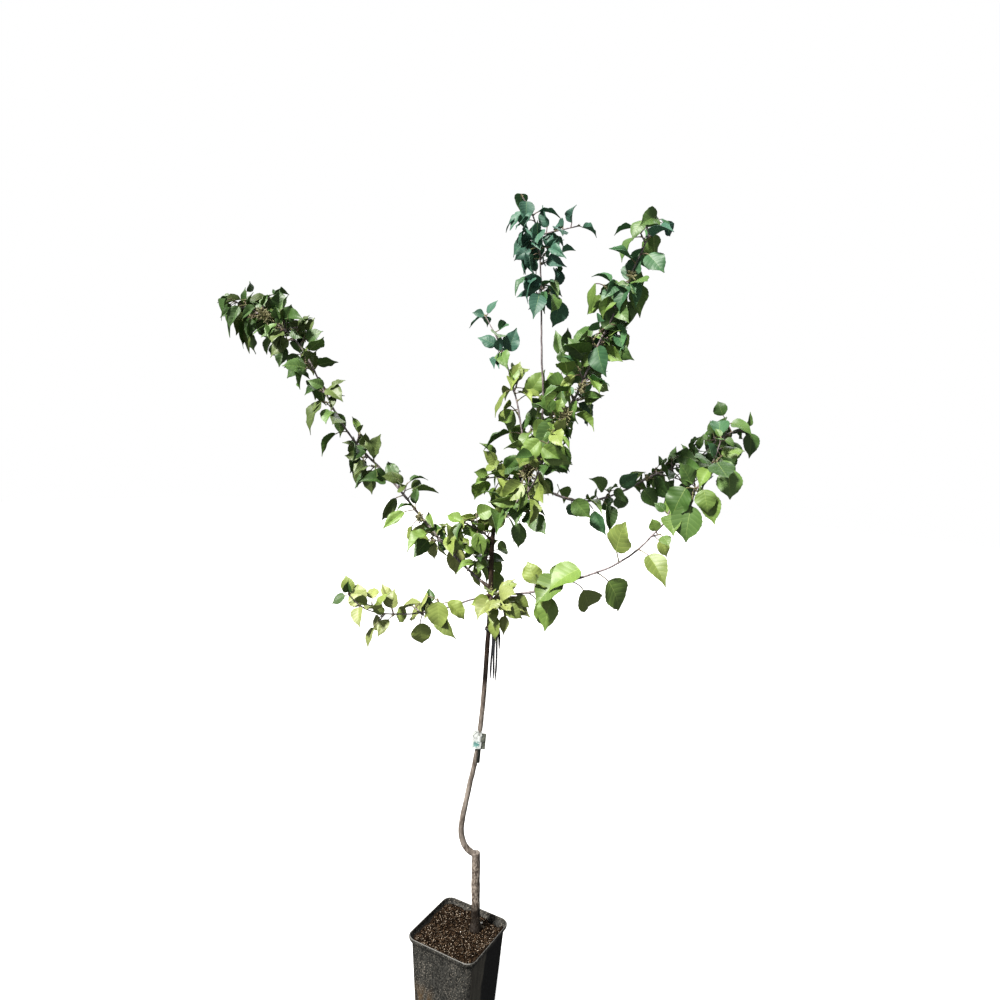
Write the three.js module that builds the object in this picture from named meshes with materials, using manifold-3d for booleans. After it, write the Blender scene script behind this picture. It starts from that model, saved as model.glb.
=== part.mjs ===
// A young budded apricot tree standing in a square nursery pot.
// Millimetres, +Z up. The origin is the middle of the pot's flat underside.
// +X runs to the right and +Y away from someone who looks at the tree from the front.
import * as THREE from 'three';
import { mergeVertices } from 'three/addons/utils/BufferGeometryUtils.js';
import Module from 'manifold-3d';

const wasm = await Module();
wasm.setup();
const { Manifold, Mesh: SolidMesh } = wasm;

// Driving dimensions of the pot and its soil
const GAP = 0.3;
const POT = {
  rim: 160, rimHeight: 12, rimSlope: 2, corner: 20, top: 151, bottom: 125, height: 230,
  wall: 2.4, floor: 3.2, turn: 60.8, drainRadius: 8, drainAt: 38,
};
const SOIL = { top: 220, flatRadius: 30, heave: 3.5, hollow: 12, hollowAt: [68, 36], hollowRadius: 34, cells: 9 };

// Driving dimensions of the trunk: a rootstock cut off above the bud, and the stem that leaves its side
const ROOTSTOCK = { foot: [35, 12], head: [29, 8], top: 398, flare: 13.5, radius: 9.4, headRadius: 8.6, flareHeight: 26 };
const TRUNK_RADII = [6.8, 5.6, 5.2, 5.0, 4.8, 5.2, 4.3, 4.0];
const FORK = { at: 399, radius: 7.2 };
const KNUCKLE = { at: 660, radius: 10.5 };

// A path is worked out in steps of this length, and a bar has a ring every RING_PACE
const STEP = 10;
const RING_PACE = 40;

// Limbs bend through headings (degrees round +Z from +X) and pitches (degrees above level),
// which are evenly spaced over the length. A limb starts on its parent, moved by a small shift.
const LIMB_RULES = {
  neck: { start: [25, 8, 394], headings: [0], pitches: [155, 111, 87, 80, 81, 80], length: 175 },
  stem: { parent: 'neck', at: 175, headings: [0], pitches: [78, 85, 87, 89, 88, 92, 89, 68, 36], length: 665 },
  leader: {
    parent: 'stem', at: 665, shift: [-1, 9, 0], headings: [0], pitches: [66, 87, 96, 93, 94, 97, 130],
    length: 525, radii: [2.4, 1.1], bare: 320,
  },
  upright: {
    parent: 'stem', at: 665, shift: [3, -6, 0], headings: [-20], pitches: [74, 52, 71, 65, 70, 64],
    length: 505, radii: [3.0, 1.2], bare: 60,
  },
  twig: {
    parent: 'stem', at: 665, shift: [-7, 1, 0], headings: [140], pitches: [81, 74, 64, 50],
    length: 325, radii: [1.9, 1.0], bare: 14,
  },
  left: {
    parent: 'stem', at: 399, shift: [-2, 4, 6], headings: [162], pitches: [31, 43, 47, 38, 55, 61, 29, 19],
    length: 840, radii: [2.9, 1.2], bare: 92,
  },
  left_low: {
    parent: 'stem', at: 399, shift: [-2, -2, -8], headings: [204], pitches: [-7, -16, -2, 9, 54],
    length: 295, radii: [2.1, 1.0], bare: 88,
  },
  right_low: {
    parent: 'stem', at: 399, shift: [2, -3, -3], headings: [-20], pitches: [0, 23, 25, 51, 52, 79],
    length: 560, radii: [2.4, 1.1], bare: 60,
  },
  right_mid: {
    parent: 'stem', at: 648, shift: [3, 3, -5], headings: [22], pitches: [-29, -19, 15, 28, 11, 47, 4],
    length: 565, radii: [2.6, 1.1], bare: 75,
  },
  back: {
    parent: 'stem', at: 596, headings: [48, 64], pitches: [22, 48, 70, 66],
    length: 340, radii: [2.0, 1.0], bare: 60,
  },
  front: {
    parent: 'stem', at: 566, headings: [-48, -72], pitches: [15, 35, 60, 56],
    length: 235, radii: [2.0, 1.0], bare: 45,
  },
};

// Short leafy side shoots that leave the stem by themselves
const SPRAY_RADII = [1.7, 1.1];
const SPRAY_RULES = {
  fork_spray: { at: 385, headings: [-70], pitches: [10, -10], length: 50 },
  fork_back_spray: { at: 432, headings: [115], pitches: [40, 15], length: 70 },
  stem_spray_left: { at: 500, headings: [205], pitches: [45, 20], length: 70 },
  stem_spray_right: { at: 535, headings: [-35], pitches: [40, 10], length: 80 },
  knot_spray_left: { at: 632, headings: [190], pitches: [20, -10], length: 55 },
};

// The growing rule shared by every mass, in degrees and in parts of the blade's length
const RULE = {
  turn: 144, turnJitter: 70, spurTurn: 70, spurJitter: 90, stagger: 0.7,
  stalkShort: 0.28, stalkMore: 0.24, halfWidth: 0.39, curl: 0.16, twist: 1.9, widest: 0.42,
  tipSize: 0.75, space: 200, clear: 3.5,
};
const LEAF_THICKNESS = 1.2;
const STALK_RADIUS = 1.1;
const SPUR_RADII = [1.4, 1.0];
// Two leaves of a mass that cut into each other by more than this, in cubic millimetres, can't both stay
const CROSSING = 3;

// Foliage masses. Each goes round a stretch of a limb, between two distances along it. It bears leaves of its
// own, and spurs: short side twigs with perSpur leaves each. Blade and spur give the least and greatest length,
// phase the side that the first leaf stands on, and tip says that the stretch ends in a leaf.
const MASSES = [
  { name: 'left_knee', limb: 'left', from: 92, to: 205, leaves: 4, blade: [42, 70], droop: 1,
    tip: false, spurs: 2, perSpur: 3, spur: [15, 40], phase: 270, seed: 5905, tint: 'bright' },
  { name: 'left_inner', limb: 'left', from: 205, to: 330, leaves: 5, blade: [46, 76], droop: 0.4,
    tip: false, spurs: 0, perSpur: 0, spur: [15, 40], phase: 135, seed: 3873, tint: 'mid' },
  { name: 'left_mid', limb: 'left', from: 330, to: 450, leaves: 6, blade: [44, 82], droop: 1,
    tip: false, spurs: 0, perSpur: 0, spur: [15, 40], phase: 135, seed: 4164, tint: 'mid' },
  { name: 'left_upper', limb: 'left', from: 450, to: 560, leaves: 5, blade: [48, 74], droop: 0.7,
    tip: false, spurs: 0, perSpur: 0, spur: [15, 40], phase: 180, seed: 3510, tint: 'deep' },
  { name: 'left_shoulder', limb: 'left', from: 560, to: 650, leaves: 6, blade: [38, 66], droop: 0.7,
    tip: false, spurs: 0, perSpur: 0, spur: [15, 40], phase: 0, seed: 1539, tint: 'deep' },
  { name: 'left_crook', limb: 'left', from: 650, to: 745, leaves: 5, blade: [42, 68], droop: 0.4,
    tip: false, spurs: 3, perSpur: 4, spur: [15, 45], phase: 0, seed: 754, tint: 'deep' },
  { name: 'left_tip', limb: 'left', from: 745, to: 840, leaves: 5, blade: [42, 72], droop: 1,
    tip: true, spurs: 3, perSpur: 4, spur: [15, 45], phase: 0, seed: 624, tint: 'deep' },
  { name: 'left_low_mid', limb: 'left_low', from: 88, to: 185, leaves: 4, blade: [42, 72], droop: 1,
    tip: false, spurs: 2, perSpur: 3, spur: [15, 40], phase: 180, seed: 4536, tint: 'mid' },
  { name: 'left_low_tip', limb: 'left_low', from: 185, to: 295, leaves: 6, blade: [24, 48], droop: 0.4,
    tip: true, spurs: 0, perSpur: 0, spur: [15, 40], phase: 270, seed: 3411, tint: 'mid' },
  { name: 'right_low_near', limb: 'right_low', from: 60, to: 200, leaves: 7, blade: [49, 76], droop: 1,
    tip: false, spurs: 0, perSpur: 0, spur: [15, 40], phase: 135, seed: 67, tint: 'bright' },
  { name: 'right_low_mid', limb: 'right_low', from: 200, to: 390, leaves: 4, blade: [52, 82], droop: 0.4,
    tip: false, spurs: 0, perSpur: 0, spur: [15, 40], phase: 135, seed: 631, tint: 'bright' },
  { name: 'right_low_tip', limb: 'right_low', from: 390, to: 560, leaves: 5, blade: [44, 76], droop: 1,
    tip: true, spurs: 2, perSpur: 4, spur: [20, 60], phase: 135, seed: 523, tint: 'mid' },
  { name: 'right_mid_near', limb: 'right_mid', from: 75, to: 180, leaves: 6, blade: [46, 70], droop: 0.7,
    tip: false, spurs: 0, perSpur: 0, spur: [15, 40], phase: 225, seed: 3287, tint: 'deep' },
  { name: 'right_mid_mid', limb: 'right_mid', from: 180, to: 290, leaves: 7, blade: [42, 68], droop: 1,
    tip: false, spurs: 0, perSpur: 0, spur: [15, 40], phase: 45, seed: 1755, tint: 'deep' },
  { name: 'right_mid_far', limb: 'right_mid', from: 290, to: 380, leaves: 5, blade: [47, 72], droop: 1,
    tip: false, spurs: 2, perSpur: 4, spur: [15, 50], phase: 0, seed: 5911, tint: 'mid' },
  { name: 'right_crook', limb: 'right_mid', from: 380, to: 470, leaves: 5, blade: [42, 70], droop: 0.7,
    tip: false, spurs: 2, perSpur: 4, spur: [15, 50], phase: 225, seed: 3024, tint: 'mid' },
  { name: 'right_tip', limb: 'right_mid', from: 470, to: 565, leaves: 5, blade: [40, 74], droop: 1,
    tip: true, spurs: 1, perSpur: 4, spur: [30, 70], phase: 135, seed: 3444, tint: 'mid' },
  { name: 'leader_low', limb: 'leader', from: 320, to: 400, leaves: 4, blade: [48, 82], droop: 1,
    tip: false, spurs: 1, perSpur: 3, spur: [15, 40], phase: 180, seed: 2, tint: 'blue' },
  { name: 'leader_mid', limb: 'leader', from: 400, to: 462, leaves: 4, blade: [32, 54], droop: 1,
    tip: false, spurs: 2, perSpur: 3, spur: [20, 50], phase: 90, seed: 1534, tint: 'blue' },
  { name: 'leader_top', limb: 'leader', from: 462, to: 525, leaves: 6, blade: [34, 58], droop: 1,
    tip: true, spurs: 0, perSpur: 0, spur: [15, 40], phase: 0, seed: 4473, tint: 'blue' },
  { name: 'upright_low', limb: 'upright', from: 60, to: 140, leaves: 5, blade: [48, 76], droop: 1,
    tip: false, spurs: 3, perSpur: 3, spur: [15, 45], phase: 225, seed: 3229, tint: 'bright' },
  { name: 'upright_mid', limb: 'upright', from: 140, to: 225, leaves: 5, blade: [48, 80], droop: 1,
    tip: false, spurs: 3, perSpur: 3, spur: [15, 45], phase: 0, seed: 3472, tint: 'bright' },
  { name: 'upright_high', limb: 'upright', from: 225, to: 315, leaves: 5, blade: [44, 74], droop: 0.7,
    tip: false, spurs: 2, perSpur: 4, spur: [15, 50], phase: 45, seed: 5426, tint: 'mid' },
  { name: 'upright_far', limb: 'upright', from: 315, to: 410, leaves: 5, blade: [36, 66], droop: 1,
    tip: false, spurs: 2, perSpur: 4, spur: [15, 50], phase: 0, seed: 4167, tint: 'mid' },
  { name: 'upright_top', limb: 'upright', from: 410, to: 505, leaves: 7, blade: [46, 78], droop: 1,
    tip: true, spurs: 0, perSpur: 0, spur: [15, 40], phase: 315, seed: 5877, tint: 'blue' },
  { name: 'twig_low', limb: 'twig', from: 14, to: 130, leaves: 5, blade: [46, 70], droop: 1,
    tip: false, spurs: 2, perSpur: 3, spur: [20, 50], phase: 180, seed: 5159, tint: 'bright' },
  { name: 'twig_mid', limb: 'twig', from: 130, to: 215, leaves: 4, blade: [34, 62], droop: 0.7,
    tip: false, spurs: 0, perSpur: 0, spur: [15, 40], phase: 225, seed: 1014, tint: 'bright' },
  { name: 'twig_top', limb: 'twig', from: 215, to: 325, leaves: 5, blade: [30, 50], droop: 0.7,
    tip: true, spurs: 0, perSpur: 0, spur: [15, 40], phase: 225, seed: 4302, tint: 'blue' },
  { name: 'back_low', limb: 'back', from: 60, to: 170, leaves: 5, blade: [48, 74], droop: 1,
    tip: false, spurs: 2, perSpur: 3, spur: [15, 45], phase: 90, seed: 7575, tint: 'mid' },
  { name: 'back_tip', limb: 'back', from: 170, to: 340, leaves: 6, blade: [40, 68], droop: 0.4,
    tip: true, spurs: 2, perSpur: 4, spur: [15, 50], phase: 0, seed: 825, tint: 'mid' },
  { name: 'front_low', limb: 'front', from: 45, to: 135, leaves: 5, blade: [44, 70], droop: 1,
    tip: false, spurs: 1, perSpur: 3, spur: [15, 40], phase: 180, seed: 1359, tint: 'bright' },
  { name: 'front_tip', limb: 'front', from: 135, to: 235, leaves: 5, blade: [40, 68], droop: 1,
    tip: true, spurs: 1, perSpur: 4, spur: [15, 40], phase: 0, seed: 6559, tint: 'bright' },
  { name: 'fork_spray', limb: 'fork_spray', from: 12, to: 50, leaves: 5, blade: [44, 66], droop: 0.7,
    tip: true, spurs: 0, perSpur: 0, spur: [12, 35], phase: 0, seed: 3459, tint: 'bright' },
  { name: 'fork_back_spray', limb: 'fork_back_spray', from: 12, to: 70, leaves: 5, blade: [38, 62], droop: 1,
    tip: true, spurs: 0, perSpur: 0, spur: [12, 35], phase: 0, seed: 4140, tint: 'mid' },
  { name: 'stem_spray_left', limb: 'stem_spray_left', from: 12, to: 70, leaves: 5, blade: [40, 66], droop: 1,
    tip: true, spurs: 1, perSpur: 3, spur: [12, 35], phase: 225, seed: 4478, tint: 'bright' },
  { name: 'stem_spray_right', limb: 'stem_spray_right', from: 12, to: 80, leaves: 5, blade: [42, 70], droop: 1,
    tip: true, spurs: 1, perSpur: 3, spur: [12, 35], phase: 180, seed: 2304, tint: 'deep' },
  { name: 'knot_spray_left', limb: 'knot_spray_left', from: 12, to: 55, leaves: 4, blade: [38, 58], droop: 1,
    tip: true, spurs: 1, perSpur: 3, spur: [12, 35], phase: 270, seed: 6533, tint: 'bright' },
];

// Base colours of the leaves, dealt out by mass, and of the other materials
const TINTS = { bright: '#7fae2b', mid: '#4f8a2c', deep: '#2f5f2a', blue: '#24504a' };
const COLOURS = { bark: '#6b5a4c', pot: '#17181a', soil: '#2c1d15', tag: '#e8ecee', tie: '#1b1c20' };

const UP = new THREE.Vector3(0, 0, 1);
const LIGHT = new THREE.Vector3(-0.25, -0.62, 0.75).normalize();
const radians = THREE.MathUtils.degToRad;
const mix = THREE.MathUtils.lerp;
const add = (a, b, scale) => a.clone().addScaledVector(b, scale);

// A value read between evenly spaced keys, with t from 0 to 1
function keyed(keys, t) {
  if (keys.length === 1) return keys[0];
  const x = Math.min(Math.max(t, 0), 1) * (keys.length - 1);
  const i = Math.min(Math.floor(x), keys.length - 2);
  return mix(keys[i], keys[i + 1], x - i);
}

// The same numbers from 0 to 1 each time for the same seed
function seeded(seed) {
  let state = seed >>> 0;
  return () => {
    state = (state + 0x6D2B79F5) >>> 0;
    let t = state;
    t = Math.imul(t ^ (t >>> 15), t | 1);
    t ^= t + Math.imul(t ^ (t >>> 7), t | 61);
    return ((t ^ (t >>> 14)) >>> 0) / 4294967296;
  };
}

// A limb is a chain of points with the distance to each along it
class Limb {
  constructor(points, radii) {
    this.points = points;
    this.radii = radii;
    this.marks = [0];
    for (let i = 1; i < points.length; i += 1) {
      this.marks.push(this.marks[i - 1] + points[i].distanceTo(points[i - 1]));
    }
    this.length = this.marks[points.length - 1];
  }

  at(distance) {
    const s = Math.min(Math.max(distance, 0), this.length - 1e-6);
    let i = 0;
    while (this.marks[i + 1] <= s) i += 1;
    const share = (s - this.marks[i]) / (this.marks[i + 1] - this.marks[i]);
    const point = this.points[i].clone().lerp(this.points[i + 1], share);
    const tangent = this.points[i + 1].clone().sub(this.points[i]).normalize();
    return { point, tangent };
  }

  radius(distance) {
    return keyed(this.radii, distance / this.length);
  }
}

function bentPath(start, headings, pitches, length) {
  const steps = Math.max(2, Math.ceil(length / STEP));
  const points = [start.clone()];
  for (let i = 0; i < steps; i += 1) {
    const t = (i + 0.5) / steps;
    const heading = radians(keyed(headings, t));
    const pitch = radians(keyed(pitches, t));
    const level = Math.cos(pitch);
    const direction = new THREE.Vector3(level * Math.cos(heading), level * Math.sin(heading), Math.sin(pitch));
    points.push(add(points[i], direction, length / steps));
  }
  return points;
}

const limbs = {};
for (const [name, rule] of Object.entries(LIMB_RULES)) {
  const parent = limbs[rule.parent];
  const start = parent ? parent.at(rule.at).point : new THREE.Vector3(...rule.start);
  start.add(new THREE.Vector3(...(rule.shift ?? [0, 0, 0])));
  limbs[name] = new Limb(bentPath(start, rule.headings, rule.pitches, rule.length), rule.radii);
}
for (const [name, rule] of Object.entries(SPRAY_RULES)) {
  const start = limbs.stem.at(rule.at).point;
  limbs[name] = new Limb(bentPath(start, rule.headings, rule.pitches, rule.length), SPRAY_RADII);
}
limbs.trunk = new Limb([...limbs.neck.points, ...limbs.stem.points.slice(1)], TRUNK_RADII);

// Solids from three.js geometry, and back
function solidFrom(geometry) {
  const bare = geometry.clone();
  bare.deleteAttribute('normal');
  bare.deleteAttribute('uv');
  const merged = mergeVertices(bare, 1e-4);
  return new Manifold(new SolidMesh({
    numProp: 3,
    vertProperties: Float32Array.from(merged.attributes.position.array),
    triVerts: Uint32Array.from(merged.index.array),
  }));
}

function geometryFrom(solid) {
  const mesh = solid.getMesh();
  const geometry = new THREE.BufferGeometry();
  geometry.setAttribute('position', new THREE.BufferAttribute(Float32Array.from(mesh.vertProperties), 3));
  geometry.setIndex(new THREE.BufferAttribute(Uint32Array.from(mesh.triVerts), 1));
  geometry.computeVertexNormals();
  return geometry;
}

// Booleans can leave a loose scrap, so only the largest body is kept
function largest(solid) {
  const bodies = solid.decompose();
  return bodies.reduce((best, body) => (body.volume() > best.volume() ? body : best));
}

// A ring of a bar: its centre, the way it faces, and its half sizes
function ring(centre, facing, hint, width, depth) {
  const along = facing.clone().normalize();
  let over = add(hint, along, -hint.dot(along));
  if (over.lengthSq() < 0.01) {
    const spare = Math.abs(along.x) < 0.8 ? new THREE.Vector3(1, 0, 0) : UP.clone();
    over = add(spare, along, -spare.dot(along));
  }
  over.normalize();
  return { centre, across: along.clone().cross(over), over, width, depth };
}

// A closed bar through rings, made from a cylinder, or a cone where it ends in a point
function bar(rings, sides, pointed = false, square = false) {
  const last = rings.length - 1;
  const geometry = pointed
    ? new THREE.ConeGeometry(1, 1, sides, last)
    : new THREE.CylinderGeometry(1, 1, 1, sides, last);
  const position = geometry.attributes.position;
  for (let i = 0; i < position.count; i += 1) {
    const { centre, across, over, width, depth } = rings[Math.round((position.getY(i) + 0.5) * last)];
    const radius = Math.hypot(position.getX(i), position.getZ(i));
    let a = radius > 1e-3 ? position.getX(i) / radius : 0;
    let b = radius > 1e-3 ? position.getZ(i) / radius : 0;
    if (square) [a, b] = [a + b, b - a];
    const point = add(centre, across, a * width);
    point.addScaledVector(over, b * depth);
    position.setXYZ(i, point.x, point.y, point.z);
  }
  return solidFrom(geometry);
}

// A round tapered bar along a stretch of a limb, swollen where it is used to cut its neighbours clear
function stretch(limb, from, to, sides, swell = 0, radii = limb.radii) {
  const steps = Math.max(1, Math.round((to - from) / RING_PACE));
  const rings = [];
  let hint = Math.abs(limb.at(from).tangent.z) < 0.8 ? UP : new THREE.Vector3(1, 0, 0);
  for (let k = 0; k <= steps; k += 1) {
    const s = mix(from - swell, to + swell, k / steps);
    const { point, tangent } = limb.at(s);
    const radius = keyed(radii, s / limb.length) + swell;
    rings.push(ring(point, tangent, hint, radius, radius));
    hint = rings[k].over;
  }
  return bar(rings, sides);
}

// The trunk
function knot(limb, { at, radius }, swell) {
  const ball = new THREE.SphereGeometry(radius + swell, 8, 5);
  const { point } = limb.at(at);
  ball.translate(point.x, point.y, point.z);
  return solidFrom(ball);
}

function trunkSolid(swell) {
  const foot = new THREE.Vector3(...ROOTSTOCK.foot, SOIL.top + GAP - swell);
  const collar = foot.clone().setZ(SOIL.top + GAP + ROOTSTOCK.flareHeight);
  const head = new THREE.Vector3(...ROOTSTOCK.head, ROOTSTOCK.top + swell);
  const middle = collar.clone().lerp(head, 0.5);
  const sideways = new THREE.Vector3(1, 0, 0);
  const stock = bar([
    ring(foot, UP, sideways, ROOTSTOCK.flare + swell, ROOTSTOCK.flare + swell),
    ring(collar, UP, sideways, ROOTSTOCK.radius + swell, ROOTSTOCK.radius + swell),
    ring(middle, UP, sideways, ROOTSTOCK.radius + swell, ROOTSTOCK.radius + swell),
    ring(head, UP, sideways, ROOTSTOCK.headRadius + swell, ROOTSTOCK.headRadius + swell),
  ], 10);
  const stem = stretch(limbs.trunk, 0, limbs.trunk.length, 8, swell);
  return Manifold.union([stock, stem, knot(limbs.stem, FORK, swell), knot(limbs.stem, KNUCKLE, swell)]);
}

// The pot
function roundedSquare(side, corner) {
  const half = side / 2 - corner;
  const shape = new THREE.Shape();
  shape.absarc(half, half, corner, 0, Math.PI / 2);
  shape.absarc(-half, half, corner, Math.PI / 2, Math.PI);
  shape.absarc(-half, -half, corner, Math.PI, 1.5 * Math.PI);
  shape.absarc(half, -half, corner, 1.5 * Math.PI, 2 * Math.PI);
  return shape;
}

// A rounded square block from z = low to z = high that widens from one side length to another
function taperedBlock(lowSide, highSide, corner, low, high) {
  const depth = high - low;
  const options = { depth, bevelEnabled: false, curveSegments: 3 };
  const geometry = new THREE.ExtrudeGeometry(roundedSquare(highSide, corner), options);
  const position = geometry.attributes.position;
  for (let i = 0; i < position.count; i += 1) {
    const scale = mix(lowSide / highSide, 1, position.getZ(i) / depth);
    position.setXYZ(i, position.getX(i) * scale, position.getY(i) * scale, position.getZ(i) + low);
  }
  geometry.rotateZ(radians(POT.turn));
  return solidFrom(geometry);
}

function innerSide(z) {
  return mix(POT.bottom, POT.top, z / POT.height) - 2 * POT.wall;
}

function potSolid() {
  const wall = taperedBlock(POT.bottom, POT.top, POT.corner, 0, POT.height);
  const rimLow = POT.height - POT.rimHeight;
  const rim = taperedBlock(POT.rim - POT.rimSlope, POT.rim, POT.corner, rimLow, POT.height);
  const over = POT.height + 2;
  const inside = taperedBlock(innerSide(POT.floor), innerSide(over), POT.corner - POT.wall, POT.floor, over);
  let pot = wall.add(rim).subtract(inside);
  for (const [x, y] of [[1, 1], [-1, 1], [-1, -1], [1, -1]]) {
    const drain = new THREE.CylinderGeometry(POT.drainRadius, POT.drainRadius, 3 * POT.floor, 12);
    drain.rotateX(Math.PI / 2);
    drain.translate(x * POT.drainAt, y * POT.drainAt, POT.floor / 2);
    drain.rotateZ(radians(POT.turn));
    pot = pot.subtract(solidFrom(drain));
  }
  return pot;
}

// How high the soil stands at a place: level at the trunk's foot, sunk at one corner, gently uneven elsewhere
function soilHeight(x, y) {
  const fromTrunk = Math.hypot(x - ROOTSTOCK.foot[0], y - ROOTSTOCK.foot[1]);
  const fromHollow = Math.hypot(x - SOIL.hollowAt[0], y - SOIL.hollowAt[1]);
  const uneven = Math.sin(x * 0.11 + 1.3) * Math.cos(y * 0.13 - 0.4) + 0.5 * Math.sin((x - y) * 0.21);
  const settled = THREE.MathUtils.smoothstep(fromTrunk, SOIL.flatRadius, 1.8 * SOIL.flatRadius);
  const sunk = 1 - THREE.MathUtils.smoothstep(fromHollow, 0.3 * SOIL.hollowRadius, SOIL.hollowRadius);
  return SOIL.top + settled * SOIL.heave * uneven - settled * sunk * SOIL.hollow;
}

function soilSolid() {
  const low = POT.floor + GAP;
  const span = POT.rim * 1.2;
  const block = new THREE.BoxGeometry(span, span, 1, SOIL.cells, SOIL.cells, 1);
  block.rotateZ(radians(POT.turn));
  const position = block.attributes.position;
  for (let i = 0; i < position.count; i += 1) {
    const top = soilHeight(position.getX(i), position.getY(i));
    position.setZ(i, position.getZ(i) > 0 ? top : low);
  }
  const inset = 2 * GAP;
  const filling = taperedBlock(innerSide(low) - inset, innerSide(POT.height) - inset,
    POT.corner - POT.wall, low, POT.height);
  return solidFrom(block).intersect(filling);
}

// A flat strip through points, facing a given way
function strip(points, facing, width, thickness) {
  const rings = points.map((point, i) => {
    const ahead = points[Math.min(i + 1, points.length - 1)];
    const behind = points[Math.max(i - 1, 0)];
    return ring(point, ahead.clone().sub(behind), facing, width / 2, thickness / 2);
  });
  return bar(rings, 4, false, true);
}

// A band round the stem, clear of it
function band(at, height, thickness) {
  const { point, tangent } = limbs.stem.at(at);
  const inner = limbs.trunk.radius(limbs.neck.length + at) + 2 * GAP;
  const profile = [
    new THREE.Vector2(inner, -height / 2),
    new THREE.Vector2(inner + thickness, -height / 2),
    new THREE.Vector2(inner + thickness, height / 2),
    new THREE.Vector2(inner, height / 2),
    new THREE.Vector2(inner, -height / 2),
  ];
  const geometry = new THREE.LatheGeometry(profile, 12);
  const turn = new THREE.Quaternion().setFromUnitVectors(new THREE.Vector3(0, 1, 0), tangent);
  geometry.applyQuaternion(turn);
  geometry.translate(point.x, point.y, point.z);
  return { solid: solidFrom(geometry), centre: point, reach: inner + thickness };
}

// The plastic tie: a band, a strap that arches out of it and hangs, and long ends beside each other under it.
// The strap's points are [right, up] from the stem's middle, and each end has its place to the right and its length.
const TIE = {
  at: 322, height: 7, thickness: 2.2, strip: 1.8, strapWidth: 6, endWidth: 4.4, endTop: 1.5,
  strap: [[7, -1], [11, 2.5], [16, 3], [20.5, -3], [22.5, -20], [23, -42]],
  ends: [[8.6, 104], [13.3, 105], [18, 109]],
};
function tieSolid() {
  const { solid, centre } = band(TIE.at, TIE.height, TIE.thickness);
  const forward = new THREE.Vector3(0, -1, 0);
  const at = (right, up) => new THREE.Vector3(centre.x + right, centre.y, centre.z + up);
  const strap = strip(TIE.strap.map(([right, up]) => at(right, up)), forward, TIE.strapWidth, TIE.strip);
  const ends = TIE.ends.map(([right, length]) => (
    strip([at(right, TIE.endTop), at(right, -length)], forward, TIE.endWidth, TIE.strip)));
  return Manifold.union([solid, strap, ...ends]);
}

// The blank tag: a band with upright cards on it. Each card has its middle to the right of the stem's, how far it
// lies behind the band's front, its low and high end from the band's middle, and its width.
const TAG = {
  at: 90, band: 16, thickness: 1.2, lean: 0.06, facing: [0.12, -1, 0.05],
  plate: { right: -4, behind: 0.4, low: -19, high: 19, width: 20 },
  bridge: { right: 4.5, behind: 2, low: -5, high: 5, width: 14 },
  flap: { right: 10.5, behind: 4.7, low: -21, high: 12, width: 11 },
  tail: { right: 2.5, behind: 0.2, low: -49, high: -11, width: 5 },
};
function tagSolid() {
  const { solid, centre, reach } = band(TAG.at, TAG.band, TAG.thickness);
  const facing = new THREE.Vector3(...TAG.facing);
  const cards = [TAG.plate, TAG.bridge, TAG.flap, TAG.tail].map(({ right, behind, low, high, width }) => {
    const points = [low, (low + high) / 2, high].map((z) => (
      new THREE.Vector3(centre.x + right + z * TAG.lean, centre.y - reach + behind, centre.z + z)));
    return strip(points, facing, width, TAG.thickness);
  });
  return Manifold.union([solid, ...cards]).subtract(trunkSolid(GAP));
}

// Growing a mass: where each leaf and each spur stands
function sideFrame(tangent, hint) {
  const first = tangent.clone().cross(hint).normalize();
  return { first, second: tangent.clone().cross(first) };
}

function sideways(tangent, hint, degrees) {
  const { first, second } = sideFrame(tangent, hint);
  const angle = radians(degrees);
  return first.multiplyScalar(Math.cos(angle)).addScaledVector(second, Math.sin(angle));
}

function placeLeaf(mass, numbers, index, node, tangent, hint, isTip) {
  const [, around, stalk, size, sag, turn] = numbers;
  const side = sideways(tangent, hint, mass.phase + RULE.turn * index + (around - 0.5) * RULE.turnJitter);
  const reach = add(side, tangent, isTip ? 1.6 : 0.4).addScaledVector(UP, 0.15).normalize();
  const length = mix(mass.blade[0], mass.blade[1], size) * (isTip ? RULE.tipSize : 1);
  const stalkLength = length * (RULE.stalkShort + RULE.stalkMore * stalk);
  const fallen = Math.min(mass.droop * (0.35 + 1.3 * sag), 1.4);
  const fall = fallen * (1 - 0.6 * Math.max(reach.z, 0));
  const base = add(node, reach, stalkLength).addScaledVector(UP, -stalkLength * 0.3 * mass.droop);
  const along = reach.clone().multiplyScalar(1.15 - 0.6 * fall).addScaledVector(UP, -fall);
  along.addScaledVector(tangent, (turn - 0.5) * 1.1).normalize();
  const face = add(LIGHT, side, 0.35).normalize();
  const flat = add(face, along, -face.dot(along)).normalize();
  const twist = (stalk - 0.5) * RULE.twist;
  const normal = flat.clone().multiplyScalar(Math.cos(twist));
  normal.addScaledVector(along.clone().cross(flat), Math.sin(twist));
  return { node, base, along, normal, length };
}

function onBlade(leaf, share) {
  return add(leaf.base, leaf.along, leaf.length * share)
    .addScaledVector(leaf.normal, -RULE.curl * leaf.length * share * share);
}

function halfWidthAt(share) {
  return RULE.halfWidth * Math.sin(Math.PI * share ** 0.7) ** 0.9 * (1.05 - 0.2 * share);
}

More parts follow.
